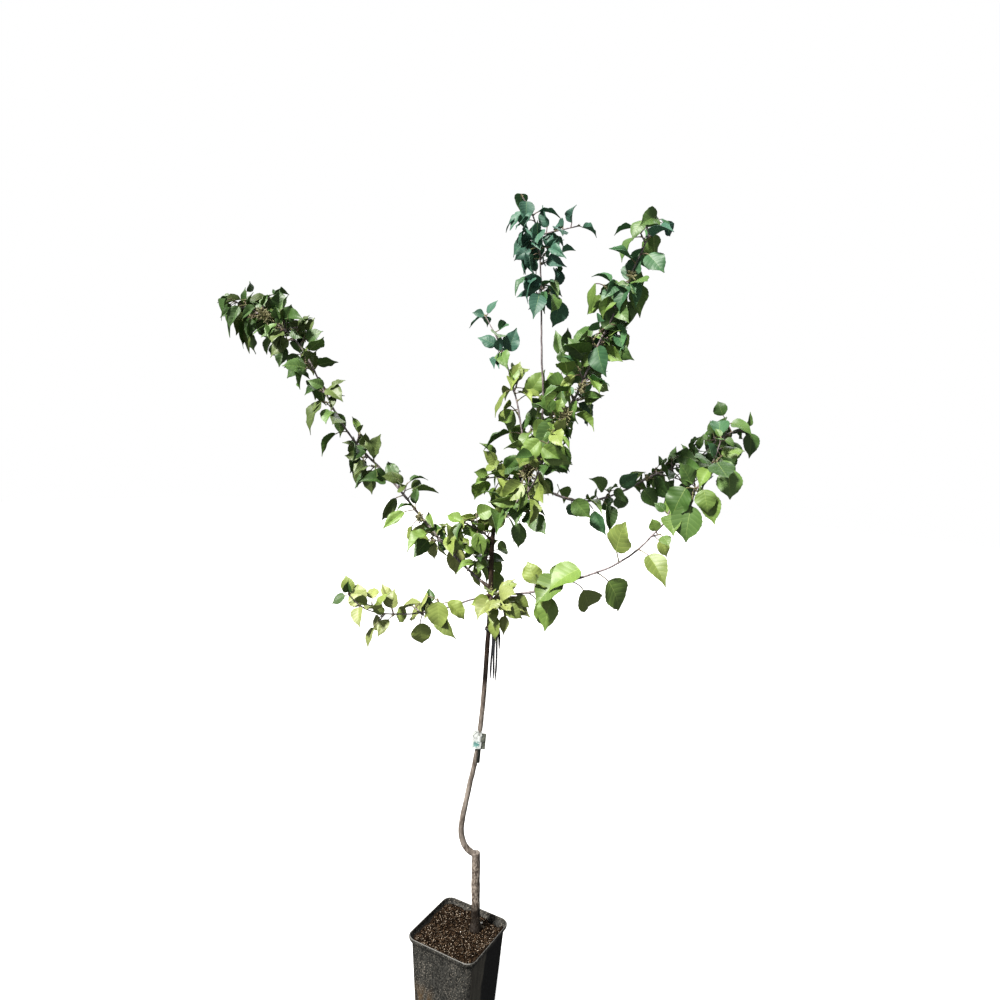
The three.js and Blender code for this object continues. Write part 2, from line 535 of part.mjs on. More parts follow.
function leafSolid(leaf, swell) {
  const stalk = leaf.base.clone().sub(leaf.node).normalize();
  const width = halfWidthAt(RULE.widest) * leaf.length / Math.cos(Math.PI / 6);
  const thin = LEAF_THICKNESS / 1.5 + swell;
  const round = STALK_RADIUS + swell;
  return bar([
    ring(leaf.node, stalk, leaf.normal, round, round),
    ring(leaf.base, stalk.clone().add(leaf.along), leaf.normal, round, round),
    ring(onBlade(leaf, RULE.widest), leaf.along, leaf.normal, width + swell, thin),
    ring(onBlade(leaf, 1 + swell / leaf.length), leaf.along, leaf.normal, 0, 0),
  ], 3, true);
}

function growPlan(mass) {
  const limb = limbs[mass.limb];
  const random = seeded(mass.seed);
  const draw = (count) => Array.from({ length: count }, random);
  const span = mass.to - mass.from;
  const axis = limb.at(mass.to).point.sub(limb.at(mass.from).point).normalize();
  const hint = Math.abs(axis.z) < 0.8 ? UP : new THREE.Vector3(1, 0, 0);
  const leaves = [];
  const spurs = [];
  for (let i = 0; i < mass.leaves; i += 1) {
    const numbers = draw(6);
    const isTip = mass.tip && i === mass.leaves - 1;
    const share = isTip ? 1 : (i + 0.5 + (numbers[0] - 0.5) * RULE.stagger) / mass.leaves;
    const { point, tangent } = limb.at(mass.from + span * share);
    leaves.push(placeLeaf(mass, numbers, i, point, tangent, hint, isTip));
  }
  for (let k = 0; k < mass.spurs; k += 1) {
    const [place, around, size] = draw(3);
    const share = (k + 0.5 + (place - 0.5) * RULE.stagger) / mass.spurs;
    const { point, tangent } = limb.at(mass.from + span * share);
    const angle = mass.phase + RULE.spurTurn + RULE.turn * k + (around - 0.5) * RULE.spurJitter;
    const heading = add(sideways(tangent, hint, angle), tangent, 0.5).addScaledVector(UP, 0.35).normalize();
    const length = mix(mass.spur[0], mass.spur[1], size);
    const spur = { from: point, to: add(point, heading, length), heading, leaves: [] };
    for (let j = 0; j < mass.perSpur; j += 1) {
      const isTip = j === mass.perSpur - 1;
      const along = isTip ? 1 : (j + 1.2) / mass.perSpur;
      const node = add(point, heading, length * along);
      spur.leaves.push(placeLeaf(mass, draw(6), j, node, heading, hint, isTip));
    }
    spurs.push(spur);
  }
  return { leaves, spurs };
}

// Everything placed so far, so that what grows next can be kept clear of it
const placed = [];
function boxOf(solid) {
  const { min, max } = solid.boundingBox();
  return new THREE.Box3(new THREE.Vector3(...min), new THREE.Vector3(...max));
}
function place(owner, solid) {
  placed.push({ owner, solid, box: boxOf(solid) });
}
function touchesOthers(owner, solid) {
  const box = boxOf(solid);
  return placed.some((other) => other.owner !== owner
    && other.box.intersectsBox(box)
    && !other.solid.intersect(solid).isEmpty());
}

// A leaf keeps to the space round its mass's own stem, and doesn't fold back through it
function keepsItsSpace(mass, leaf) {
  const limb = limbs[mass.limb];
  const gapTo = (point) => {
    let best = Infinity;
    for (let s = mass.from; s <= mass.to; s += STEP) best = Math.min(best, limb.at(s).point.distanceTo(point));
    return best;
  };
  const inner = [0.3, 0.6, 0.9].every((share) => gapTo(onBlade(leaf, share)) > RULE.clear);
  return inner && gapTo(onBlade(leaf, 1)) < RULE.space;
}

const SWELL = GAP + 0.05;
const group = new THREE.Group();
function addNode(name, solid, colour, roughness) {
  const material = new THREE.MeshStandardMaterial({ color: colour, roughness, metalness: 0, flatShading: true });
  const mesh = new THREE.Mesh(geometryFrom(solid), material);
  mesh.name = name;
  group.add(mesh);
}

addNode('pot', potSolid(), COLOURS.pot, 0.45);
addNode('soil', soilSolid(), COLOURS.soil, 0.95);

const trunk = trunkSolid(0);
const trunkSwollen = trunkSolid(GAP);
addNode('trunk', trunk, COLOURS.bark, 0.8);
place('trunk', trunk);
const tie = tieSolid();
const tag = tagSolid();
addNode('tie', tie, COLOURS.tie, 0.5);
addNode('tag', tag, COLOURS.tag, 0.4);
place('tie', tie);
place('tag', tag);

// Bare boughs, each cut clear of the trunk and of the boughs before it
const swollen = [trunkSwollen];
for (const [name, rule] of Object.entries(LIMB_RULES)) {
  if (rule.bare) {
    const cutters = Manifold.union(swollen);
    const bough = largest(stretch(limbs[name], 0, rule.bare, 6).subtract(cutters));
    swollen.push(stretch(limbs[name], 0, rule.bare, 6, GAP));
    addNode(`${name}_bough`, bough, COLOURS.bark, 0.8);
    place(`${name}_bough`, bough);
  }
}

// The stems of the masses come first, then their spurs and leaves
const stems = MASSES.map((mass) => {
  const start = mass.limb in SPRAY_RULES ? 0 : mass.from + GAP;
  const stem = largest(stretch(limbs[mass.limb], start, mass.to, 5).subtract(Manifold.union(swollen)));
  place(mass.name, stem);
  return stem;
});

MASSES.forEach((mass, index) => {
  const kept = [stems[index]];
  const keep = (solid) => {
    kept.push(solid);
    place(mass.name, solid);
  };
  const blades = [];
  const growLeaf = (leaf) => {
    const solid = leafSolid(leaf, 0);
    const crosses = blades.some((blade) => blade.intersect(solid).volume() > CROSSING);
    if (crosses || !keepsItsSpace(mass, leaf) || touchesOthers(mass.name, leafSolid(leaf, SWELL))) return;
    blades.push(solid);
    keep(solid);
  };
  const { leaves, spurs } = growPlan(mass);
  leaves.forEach(growLeaf);
  for (const spur of spurs) {
    const spurBar = (swell) => bar([
      ring(spur.from, spur.heading, UP, SPUR_RADII[0] + swell, SPUR_RADII[0] + swell),
      ring(spur.to, spur.heading, UP, SPUR_RADII[1] + swell, SPUR_RADII[1] + swell),
    ], 3);
    if (!touchesOthers(mass.name, spurBar(SWELL))) {
      keep(spurBar(0));
      spur.leaves.forEach(growLeaf);
    }
  }
  addNode(mass.name, largest(Manifold.union(kept)), TINTS[mass.tint], 0.6);
});

export default group;
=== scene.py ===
"""A young budded apricot tree in a square nursery pot: its looks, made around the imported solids.

Sizes are millimetres until a mesh is made. +X runs to the right and +Y away from someone who sees the tree
from the front, and the origin is the middle of the pot's flat underside.
"""
import itertools
import math

import bpy
import numpy as np
from mathutils import Matrix


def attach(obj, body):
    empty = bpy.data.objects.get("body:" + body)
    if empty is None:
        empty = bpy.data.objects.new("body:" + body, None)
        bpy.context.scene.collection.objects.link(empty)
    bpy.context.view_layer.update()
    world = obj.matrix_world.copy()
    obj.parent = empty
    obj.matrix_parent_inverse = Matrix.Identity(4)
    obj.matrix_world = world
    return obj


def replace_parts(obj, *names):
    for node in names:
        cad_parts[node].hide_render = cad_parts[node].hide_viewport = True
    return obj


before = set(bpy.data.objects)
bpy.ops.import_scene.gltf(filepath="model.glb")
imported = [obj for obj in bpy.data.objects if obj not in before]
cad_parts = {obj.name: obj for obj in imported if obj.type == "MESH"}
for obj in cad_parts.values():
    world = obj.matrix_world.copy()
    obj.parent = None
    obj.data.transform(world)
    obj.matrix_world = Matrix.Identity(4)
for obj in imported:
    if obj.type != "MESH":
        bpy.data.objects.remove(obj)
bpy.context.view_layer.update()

# Driving dimensions, the same as the solids'
POT = {
    "rim": 160, "top": 151, "bottom": 125, "height": 230, "wall": 2.4, "floor": 3.2,
    "corner": 20, "turn": 60.8, "drain_radius": 8, "drain_at": 38,
}
SOIL = {"top": 220, "flat_radius": 30, "heave": 3.5, "hollow": 12, "hollow_at": (68, 36), "hollow_radius": 34}
ROOTSTOCK = {
    "foot": (35, 12), "head": (29, 8), "top": 398, "flare": 13.5, "radius": 9.4, "head_radius": 8.6,
    "flare_height": 26,
}
TRUNK_RADII = (6.8, 5.6, 5.2, 5.0, 4.8, 5.2, 4.3, 4.0)
FORK = {"at": 399, "radius": 7.2}
KNUCKLE = {"at": 660, "radius": 10.5}
STEP = 10

# The heights between which the rootstock's old bark gives way to the stem's
OLD_BARK_ENDS = (385, 425)

# Limbs bend through headings (degrees round +Z from +X) and pitches (degrees above level), which are evenly
# spaced over the length: name, parent, place along it, shift from there, headings, pitches, length and radii
LIMBS = (
    ("neck", None, 0, (25, 8, 394), (0,), (155, 111, 87, 80, 81, 80), 175, None),
    ("stem", "neck", 175, (0, 0, 0), (0,), (78, 85, 87, 89, 88, 92, 89, 68, 36), 665, None),
    ("leader", "stem", 665, (-1, 9, 0), (0,), (66, 87, 96, 93, 94, 97, 130), 525, (2.4, 1.1)),
    ("upright", "stem", 665, (3, -6, 0), (-20,), (74, 52, 71, 65, 70, 64), 505, (3.0, 1.2)),
    ("twig", "stem", 665, (-7, 1, 0), (140,), (81, 74, 64, 50), 325, (1.9, 1.0)),
    ("left", "stem", 399, (-2, 4, 6), (162,), (31, 43, 47, 38, 55, 61, 29, 19), 840, (2.9, 1.2)),
    ("left_low", "stem", 399, (-2, -2, -8), (204,), (-7, -16, -2, 9, 54), 295, (2.1, 1.0)),
    ("right_low", "stem", 399, (2, -3, -3), (-20,), (0, 23, 25, 51, 52, 79), 560, (2.4, 1.1)),
    ("right_mid", "stem", 648, (3, 3, -5), (22,), (-29, -19, 15, 28, 11, 47, 4), 565, (2.6, 1.1)),
    ("back", "stem", 596, (0, 0, 0), (48, 64), (22, 48, 70, 66), 340, (2.0, 1.0)),
    ("front", "stem", 566, (0, 0, 0), (-48, -72), (15, 35, 60, 56), 235, (2.0, 1.0)),
)
TRUNK_PARTS = ("neck", "stem", "trunk")

# Short leafy side shoots that leave the stem by themselves: name, place along it, heading, pitches and length
SPRAYS = (
    ("fork_spray", 385, -70, (10, -10), 50),
    ("fork_back_spray", 432, 115, (40, 15), 70),
    ("stem_spray_left", 500, 205, (45, 20), 70),
    ("stem_spray_right", 535, -35, (40, 10), 80),
    ("knot_spray_left", 632, 190, (20, -10), 55),
)
SPRAY_RADII = (1.7, 1.1)

# The growing rule of every mass: turns in degrees, the twist in radians, its space and how clear of the limb
# it keeps in millimetres, and the rest as shares. A stalk leans along the limb and lifts, the blade falls with
# its droop and strays, and its face turns out.
RULE = {
    "turn": 144, "turn_jitter": 70, "spur_turn": 70, "spur_jitter": 90, "stagger": 0.7,
    "stalk_short": 0.28, "stalk_more": 0.24, "half_width": 0.39, "curl": 0.16, "twist": 1.9,
    "tip_size": 0.75, "space": 200, "clear": 3.5, "lean": 0.4, "tip_lean": 1.6, "lift": 0.15,
    "fall_least": 0.35, "fall_more": 1.3, "fall_most": 1.4, "fall_eased": 0.6, "stalk_fall": 0.3,
    "ahead": 1.15, "ahead_eased": 0.6, "stray": 1.1, "face_out": 0.35,
    "spur_lean": 0.5, "spur_lift": 0.35, "spur_first": 1.2,
}

# Foliage masses: name, limb, the stretch of it from and to, leaves, least and greatest blade, droop, the
# first leaf's side, seed and tint, and where there are spurs their number, leaves, least and greatest length
MASSES = (
    ("left_knee", "left", 92, 205, 4, (42, 70), 1, 270, 5905, "bright", (2, 3, 15, 40)),
    ("left_inner", "left", 205, 330, 5, (46, 76), 0.4, 135, 3873, "mid"),
    ("left_mid", "left", 330, 450, 6, (44, 82), 1, 135, 4164, "mid"),
    ("left_upper", "left", 450, 560, 5, (48, 74), 0.7, 180, 3510, "deep"),
    ("left_shoulder", "left", 560, 650, 6, (38, 66), 0.7, 0, 1539, "deep"),
    ("left_crook", "left", 650, 745, 5, (42, 68), 0.4, 0, 754, "deep", (3, 4, 15, 45)),
    ("left_tip", "left", 745, 840, 5, (42, 72), 1, 0, 624, "deep", (3, 4, 15, 45)),
    ("left_low_mid", "left_low", 88, 185, 4, (42, 72), 1, 180, 4536, "mid", (2, 3, 15, 40)),
    ("left_low_tip", "left_low", 185, 295, 6, (24, 48), 0.4, 270, 3411, "mid"),
    ("right_low_near", "right_low", 60, 200, 7, (49, 76), 1, 135, 67, "bright"),
    ("right_low_mid", "right_low", 200, 390, 4, (52, 82), 0.4, 135, 631, "bright"),
    ("right_low_tip", "right_low", 390, 560, 5, (44, 76), 1, 135, 523, "mid", (2, 4, 20, 60)),
    ("right_mid_near", "right_mid", 75, 180, 6, (46, 70), 0.7, 225, 3287, "deep"),
    ("right_mid_mid", "right_mid", 180, 290, 7, (42, 68), 1, 45, 1755, "deep"),
    ("right_mid_far", "right_mid", 290, 380, 5, (47, 72), 1, 0, 5911, "mid", (2, 4, 15, 50)),
    ("right_crook", "right_mid", 380, 470, 5, (42, 70), 0.7, 225, 3024, "mid", (2, 4, 15, 50)),
    ("right_tip", "right_mid", 470, 565, 5, (40, 74), 1, 135, 3444, "mid", (1, 4, 30, 70)),
    ("leader_low", "leader", 320, 400, 4, (48, 82), 1, 180, 2, "blue", (1, 3, 15, 40)),
    ("leader_mid", "leader", 400, 462, 4, (32, 54), 1, 90, 1534, "blue", (2, 3, 20, 50)),
    ("leader_top", "leader", 462, 525, 6, (34, 58), 1, 0, 4473, "blue"),
    ("upright_low", "upright", 60, 140, 5, (48, 76), 1, 225, 3229, "bright", (3, 3, 15, 45)),
    ("upright_mid", "upright", 140, 225, 5, (48, 80), 1, 0, 3472, "bright", (3, 3, 15, 45)),
    ("upright_high", "upright", 225, 315, 5, (44, 74), 0.7, 45, 5426, "mid", (2, 4, 15, 50)),
    ("upright_far", "upright", 315, 410, 5, (36, 66), 1, 0, 4167, "mid", (2, 4, 15, 50)),
    ("upright_top", "upright", 410, 505, 7, (46, 78), 1, 315, 5877, "blue"),
    ("twig_low", "twig", 14, 130, 5, (46, 70), 1, 180, 5159, "bright", (2, 3, 20, 50)),
    ("twig_mid", "twig", 130, 215, 4, (34, 62), 0.7, 225, 1014, "bright"),
    ("twig_top", "twig", 215, 325, 5, (30, 50), 0.7, 225, 4302, "blue"),
    ("back_low", "back", 60, 170, 5, (48, 74), 1, 90, 7575, "mid", (2, 3, 15, 45)),
    ("back_tip", "back", 170, 340, 6, (40, 68), 0.4, 0, 825, "mid", (2, 4, 15, 50)),
    ("front_low", "front", 45, 135, 5, (44, 70), 1, 180, 1359, "bright", (1, 3, 15, 40)),
    ("front_tip", "front", 135, 235, 5, (40, 68), 1, 0, 6559, "bright", (1, 4, 15, 40)),
    ("fork_spray", "fork_spray", 12, 50, 5, (44, 66), 0.7, 0, 3459, "bright"),
    ("fork_back_spray", "fork_back_spray", 12, 70, 5, (38, 62), 1, 0, 4140, "mid"),
    ("stem_spray_left", "stem_spray_left", 12, 70, 5, (40, 66), 1, 225, 4478, "bright", (1, 3, 12, 35)),
    ("stem_spray_right", "stem_spray_right", 12, 80, 5, (42, 70), 1, 180, 2304, "deep", (1, 3, 12, 35)),
    ("knot_spray_left", "knot_spray_left", 12, 55, 4, (38, 58), 1, 270, 6533, "bright", (1, 3, 12, 35)),
)
MASS_FIELDS = ("name", "limb", "start", "end", "leaves", "blade", "droop", "phase", "seed", "tint", "spurs")
NO_SPURS = (0, 0, 0, 0)

# Short young shoots that each mass carries besides its spurs, and the small leaves that open at a limb's tip
FINER = {
    "count": 3, "length": (8, 30), "leaves": (2, 5), "blade": (22, 46), "droop": (0.15, 1.1),
    "short_of_end": 22, "lean": 0.5, "lift": 0.4,
}
SHOOT_COUNTS = {
    "fork_spray": 8, "fork_back_spray": 5, "left_knee": 6, "left_mid": 4, "left_low_mid": 1, "left_tip": 8,
    "left_crook": 8, "right_mid_near": 0, "right_mid_mid": 1, "right_low_near": 1, "right_low_mid": 1,
    "twig_mid": 2, "twig_top": 2, "upright_mid": 6, "upright_low": 4, "upright_high": 5, "upright_top": 2,
    "leader_low": 4, "leader_mid": 5, "leader_top": 1,
}
TIP_LEAVES = {"length": 4, "leaves": 3, "blade": (14, 28), "not_on": ("leader_top",)}

# Single longer shoots: the mass, the place along its limb, heading, pitch, length and leaves
LONE_SHOOTS = (
    ("left_tip", 772, 50, 62, 46, 4), ("left_crook", 705, 10, 12, 34, 3), ("left_tip", 800, 150, 60, 30, 3),
    ("leader_mid", 450, 5, 16, 80, 5), ("leader_low", 395, 15, 30, 46, 3),
)

# Crowded old buds on short spurs: the limb, the place along it, how many buds, how far they reach, and how
# far the spur stands forward
KNOBS = (
    ("left", 752, 84, 18, 20), ("left", 205, 34, 10, 22), ("stem", 658, 80, 16, 34), ("stem", 405, 20, 8, 3),
    ("upright", 45, 20, 9, 4), ("upright", 125, 60, 15, 40), ("upright", 185, 36, 12, 30),
    ("upright", 400, 30, 10, 24), ("leader", 455, 10, 5, 0), ("right_mid", 300, 14, 6, 4),
    ("right_mid", 130, 12, 6, 2), ("left_low", 120, 14, 6, 2),
)

# Leaves keep off the limbs by a gap, and out of the space in front of a knob that stands forward and round
# the tie's ends. Each space is a row of balls, of which a knob's are a part of its reach. A blade is tried
# along its middle and to either side of it, by a part of its length.
CLEARANCE = {
    "gap": 1, "aside": 0.2, "limb_pace": 4, "stands": 10, "view": 200, "knob_pace": 14, "knob_part": 0.75,
}
CLEAR_OF_TIE = {"depth": 100, "pace": 10, "forward": 8, "radius": 12}

# How a mass's tint is dealt out over its leaves, as shares. The deep, cool and blue tints are in part painted
# shade: darker and bluer greens for the masses that stand in shade
TINT_SHARES = {
    "bright": {"lime": 0.4, "bright": 0.4, "mid": 0.1, "deep": 0.1},
    "mid": {"lime": 0.1, "bright": 0.35, "mid": 0.35, "deep": 0.2},
    "deep": {"bright": 0.1, "mid": 0.4, "deep": 0.5},
    "blue": {"mid": 0.03, "cool": 0.15, "blue": 0.82},
}
# Masses and limbs with their own shares of tints: lighter tints for leaves that stand lit are in part painted
# light, and darker tints for leaves that stand shaded are in part painted shade
PAINTED_SHADE_SHARES = {"mid": 0.3, "deep": 0.7}
SHARES_FOR = {
    "right_low_tip": {"bright": 0.2, "mid": 0.4, "deep": 0.3, "cool": 0.1},
    "right_low": {"lime": 0.55, "bright": 0.45},
    "left_low": {"pale": 0.4, "lime": 0.35, "deep": 0.25},
    "left_inner": {"olive": 0.5, "bright": 0.2, "deep": 0.3},
    "left_mid": {"olive": 0.5, "bright": 0.25, "deep": 0.25},
    "left": {"olive": 0.35, "mid": 0.2, "deep": 0.45},
    "left_knee": {"pale": 0.35, "lime": 0.3, "bright": 0.2, "deep": 0.15},
    "fork_spray": {"pale": 0.6, "lime": 0.4},
    "right_mid": {"bright": 0.25, "mid": 0.4, "deep": 0.25, "cool": 0.1},
    "right_mid_far": PAINTED_SHADE_SHARES,
    "right_crook": PAINTED_SHADE_SHARES,
    "right_tip": PAINTED_SHADE_SHARES,
    "upright_top": {"bright": 0.12, "mid": 0.25, "cool": 0.53, "blue": 0.1},
    "upright_low": {"lime": 0.2, "bright": 0.35, "mid": 0.3, "deep": 0.15},
    "upright_mid": {"lime": 0.1, "bright": 0.35, "mid": 0.25, "cool": 0.2, "deep": 0.1},
    "upright": {"bright": 0.3, "mid": 0.25, "cool": 0.3, "deep": 0.15},
}
# Each tint's colour, the slot it goes in, how strongly it shines and how light its underside is beside it
LEAF_TINTS = {
    "pale": ("#8e9c5a", "leaf_bright", 0.75, 0.8),
    "lime": ("#7d9247", "leaf_bright", 0.75, 0.8),
    "bright": ("#68883c", "leaf_bright", 0.75, 0.8),
    "mid": ("#567a3a", "leaf_mid", 0.75, 0.85),
    "olive": ("#576c36", "leaf_mid", 0.75, 0.8),
    "deep": ("#3b5f26", "leaf_deep", 0.75, 0.8),
    "cool": ("#3f6d47", "leaf_deep", 0.6, 1.1),
    "blue": ("#3f6a5a", "leaf_blue", 0.45, 1.2),
}

# Leaves are evened by a share towards a middle length, and turned by a share to the light, limb by limb
LEAF_MIDDLE = {"leader": 38}
LEAF_MIDDLE_ELSEWHERE = 43
LEAF_EVENING = {"right_low": 0.1, "leader": 0.65, "left": 0.45, "fork_spray": 0.3}
LEAF_EVENING_ELSEWHERE = 0.38
LEAF_FACING = {"right_low": 1.0, "left_low": 0.4, "fork_spray": 0.5}

# A blade is a grid of rows and columns, with fewer rows where it is small, and its midrib is one column. Its
# teeth are a part of its half width, and its quilting is a part of its length.
BLADE_ROWS = 22
SMALL_BLADE_ROWS = 14
SMALL_BLADE = 42
BLADE_COLUMNS = (-1, -0.72, -0.4, -0.06, 0.06, 0.4, 0.72, 1)
RIB_COLUMN = 3
BLADE_THICK = 0.22
RIB_THICK = 0.45
TEETH = 0.022
QUILT = 0.012
# Powers that round its outline, and by how much and over which stretch it narrows
OUTLINE = {"broad_at": 0.8, "round": 0.62, "narrowings": ((0.16, 0.35, 0.75), (0.62, 0.70, 0.94))}

# The rim's section as drops from the top and insets from the rim's side, and how far the pot's sides bow in
POT_RIM = (
    (11.5, 3.2), (8.5, 1.3), (6, 0.4), (3.2, 0), (1.2, 0.1), (0.3, 0.6), (0, 1.3), (0.2, 2.1), (1, 2.6),
    (4, 3), (9, 4),
)
POT_BOW = 0.010
SOIL_RINGS = 44

# Crumbs on the soil: how many, least and greatest size, how flat, how long, and their two colours
CRUMBS = {
    "crumbs_dark": (2600, (0.6, 2.0), 0.8, 1.4, "#090502", "#1f140a"),
    "crumbs_brown": (1700, (0.6, 1.6), 0.8, 1.6, "#30251b", "#5c4a38"),
    "crumbs_pale": (1500, (0.4, 1.1), 0.8, 1.5, "#7d7162", "#b9ad9c"),
    "perlite": (9, (0.6, 1.3), 0.9, 1.1, "#d6d3ca", "#efede6"),
    "fibres": (160, (0.3, 0.5), 0.8, 12.0, "#4a3726", "#7d664b"),
}
# One large white chip beside the trunk
CHIP = {"among": "perlite", "at": (47, 31), "radii": (2.6, 3.4, 2.2)}

# The strap's points are (right, up) from the stem's middle, and each end has its place to the right and its
# length. A bead is the pace of the studs.
TIE = {
    "at": 322, "thickness": 2.2, "strip": 1.8, "strap_width": 6, "end_width": 4.4, "end_top": 1.5,
    "bead": 3.2, "strap": ((7, -1), (11, 2.5), (16, 3), (20.5, -3), (22.5, -20), (23, -42)),
    "ends": ((8.6, 104), (13.3, 105), (18, 109)),
}
# Each card has its middle to the right of the stem's, how far it lies behind the band's front, its low and
# high end from the band's middle, its width and its finish: 0 the label's face, 1 its back, painted grey as
# painted shade, 2 its dark fold
TAG = {"at": 90, "band": 16, "thickness": 1.2, "lean": 0.06, "facing": (0.12, -1, 0.05)}
CARDS = (
    (-4, 0.4, -19, 19, 20, 0), (4.5, 2, -5, 5, 14, 1), (10, 4.7, -21, 12, 9, 1), (3.6, 0.2, -49, -11, 6, 2),
)
CARD_ROWS = 25
CARD_COLUMNS = 15

# The view, the light and the floor
CAMERA = {"at": (45.8, -1458, 1316), "down": 6.89, "roll": 2.59, "lens": 27.04, "sensor": 36}
LIGHTS = {
    "around": 0.36, "shine": 0.06,
    "key": {"power": 7.6, "width": 8, "colour": (1.0, 0.965, 0.92), "turn": (40, -14, -28)},
    "fill": {"power": 1.2, "width": 40, "colour": (0.95, 0.98, 1.0), "turn": (-48, 22, 0)},
}
FLOOR = {"radius": 9000, "at": -0.2, "glow": 0.78}

# Directions, of which LIGHT is the one that the leaves' upper faces turn to, and a millimetre in metres
UP = np.array([0.0, 0.0, 1.0])
SIDE = np.array([1.0, 0.0, 0.0])
FORWARD = np.array([0.0, -1.0, 0.0])
LIGHT = np.array([-0.25, -0.62, 0.75]) / np.linalg.norm([-0.25, -0.62, 0.75])
MM = 0.001


# Small sums
def mix(a, b, t):
    return a + (b - a) * t


def unit(v):
    return v / np.linalg.norm(v)


def units(rows):
    """Each row or each point of a grid as a direction."""
    return rows / np.linalg.norm(rows, axis=-1)[..., None]


def hint_for(way):
    """Up, or sideways where the way itself is steep."""
    return UP if abs(way[2]) < 0.8 else SIDE


def marks_along(points):
    """The distance to each point along a chain of them."""
    return np.concatenate([[0], np.cumsum(np.linalg.norm(np.diff(points, axis=0), axis=1))])


def smoothstep(x, low, high):
    t = np.clip((x - low) / (high - low), 0, 1)
    return t * t * (3 - 2 * t)


def keyed(keys, t):
    """A value read between evenly spaced keys, with t from 0 to 1."""
    return float(np.interp(t * (len(keys) - 1), range(len(keys)), keys))


def seeded(seed):
    """Numbers from 0 to 1, the same each time for the same seed."""
    mask = 0xFFFFFFFF
    state = seed
    while True:
        state = (state + 0x6D2B79F5) & mask
        t = ((state ^ (state >> 15)) * (state | 1)) & mask
        t ^= (t + (((t ^ (t >> 7)) * (t | 61)) & mask)) & mask
        yield (t ^ (t >> 14)) / 2**32


def lattice_noise(points, size, seed=0):
    """Smooth noise from -1 to 1 over an array of points, with a bump about every size."""
    place = np.asarray(points, float) / size + 37.3
    cell = np.floor(place).astype(np.int64)
    share = place - cell
    share = share * share * (3 - 2 * share)
    total = np.zeros(len(place))
    for corner in itertools.product((0, 1), repeat=3):
        at = cell + corner
        mess = at[:, 0] * 374761393 + at[:, 1] * 668265263 + at[:, 2] * 1274126177 + seed * 974711
        mess = (mess ^ (mess >> 13)) * 1103515245 & 0x7FFFFFFF
        mess = (mess ^ (mess >> 11)) * 22695477 & 0x7FFFFFFF
        total += np.prod(np.where(corner, share, 1 - share), axis=1) * (mess / 0x3FFFFFFF - 1)
    return total


# Limbs
class Limb:
    """A chain of points, with the distance to each along it."""

    def __init__(self, points, radii):
        self.points = np.array(points)
        self.marks = marks_along(self.points)
        self.length = self.marks[-1]
        self.radii = radii

    def at(self, distance):
        """The point at a distance along the limb, and the way the limb runs there."""
        s = min(max(distance, 0), self.length - 1e-6)
        i = int(np.searchsorted(self.marks, s, side="right")) - 1
        share = (s - self.marks[i]) / (self.marks[i + 1] - self.marks[i])
        return mix(self.points[i], self.points[i + 1], share), unit(self.points[i + 1] - self.points[i])

    def radius(self, distance):
        return keyed(self.radii, distance / self.length)

    def stretch(self, start, end, pace):
        """Evenly spaced points of the limb from start to end."""
        count = max(2, int(round((end - start) / pace)) + 1)
        return np.array([self.at(s)[0] for s in np.linspace(start, end, count)])

    def mark_of(self, point):
        """The distance along the limb to its corner that is nearest the point."""
        return self.marks[int(np.argmin(np.linalg.norm(self.points - point, axis=1)))]


def turned_to(heading, pitch):
    """A direction from its heading and its pitch in degrees."""
    heading, pitch = math.radians(heading), math.radians(pitch)
    level = math.cos(pitch)
    return np.array([level * math.cos(heading), level * math.sin(heading), math.sin(pitch)])


def bent_path(start, headings, pitches, length):
    steps = max(2, math.ceil(length / STEP))
    points = [np.array(start, float)]
    for i in range(steps):
        t = (i + 0.5) / steps
        points.append(points[-1] + turned_to(keyed(headings, t), keyed(pitches, t)) * (length / steps))
    return points


def make_limbs():
    limbs = {}
    sprays = [(name, "stem", at, (0, 0, 0), (heading,), pitches, length, SPRAY_RADII)
              for name, at, heading, pitches, length in SPRAYS]
    for name, parent, at, shift, headings, pitches, length, radii in (*LIMBS, *sprays):
        start = limbs[parent].at(at)[0] if parent else np.zeros(3)
        limbs[name] = Limb(bent_path(start + np.array(shift), headings, pitches, length), radii)
    limbs["trunk"] = Limb([*limbs["neck"].points, *limbs["stem"].points[1:]], TRUNK_RADII)
    return limbs


# Many small shapes joined into one mesh
class Pile:
    def __init__(self):
        self.points = []
        self.faces = []
        self.slots = []
        self.spots = []
        self.count = 0

    def add(self, points, faces, slot=0, spots=None):
        """slot is one material slot or one for each face, and spots are the points' places in the pattern."""
        self.points.append(np.asarray(points, float))
        self.faces.extend((np.asarray(face) + self.count).tolist() for face in faces)
        self.slots.extend([slot] * len(faces) if np.isscalar(slot) else list(slot))
        self.spots.append(np.zeros((len(points), 2)) if spots is None else np.asarray(spots, float))
        self.count += len(points)

    def piece(self, name, materials, slot, sharp=50):
        """The mesh as a piece that rides the root, with edges sharper than so many degrees left sharp."""
        mesh = bpy.data.meshes.new(name)
        mesh.from_pydata((np.concatenate(self.points) * MM).tolist(), [], self.faces)
        mesh.polygons.foreach_set("material_index", self.slots)
        mesh.polygons.foreach_set("use_smooth", [True] * len(self.faces))
        corners = np.zeros(len(mesh.loops), np.int32)
        mesh.loops.foreach_get("vertex_index", corners)
        layer = mesh.uv_layers.new(name="pattern")
        layer.data.foreach_set("uv", np.concatenate(self.spots)[corners].ravel())
        for material in materials:
            mesh.materials.append(material)
        mesh.validate()
        mesh.set_sharp_from_angle(angle=math.radians(sharp))
        made = add_to_scene(name, mesh)
        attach(made, "root")
        return made


def grid_faces(rows, columns, around=False):
    """Four-sided faces over rows of points, that close round each row where around is true."""
    faces = []
    for i in range(rows - 1):
        for j in range(columns if around else columns - 1):
            k = (j + 1) % columns
            faces.append((i * columns + j, i * columns + k, (i + 1) * columns + k, (i + 1) * columns + j))
    return faces


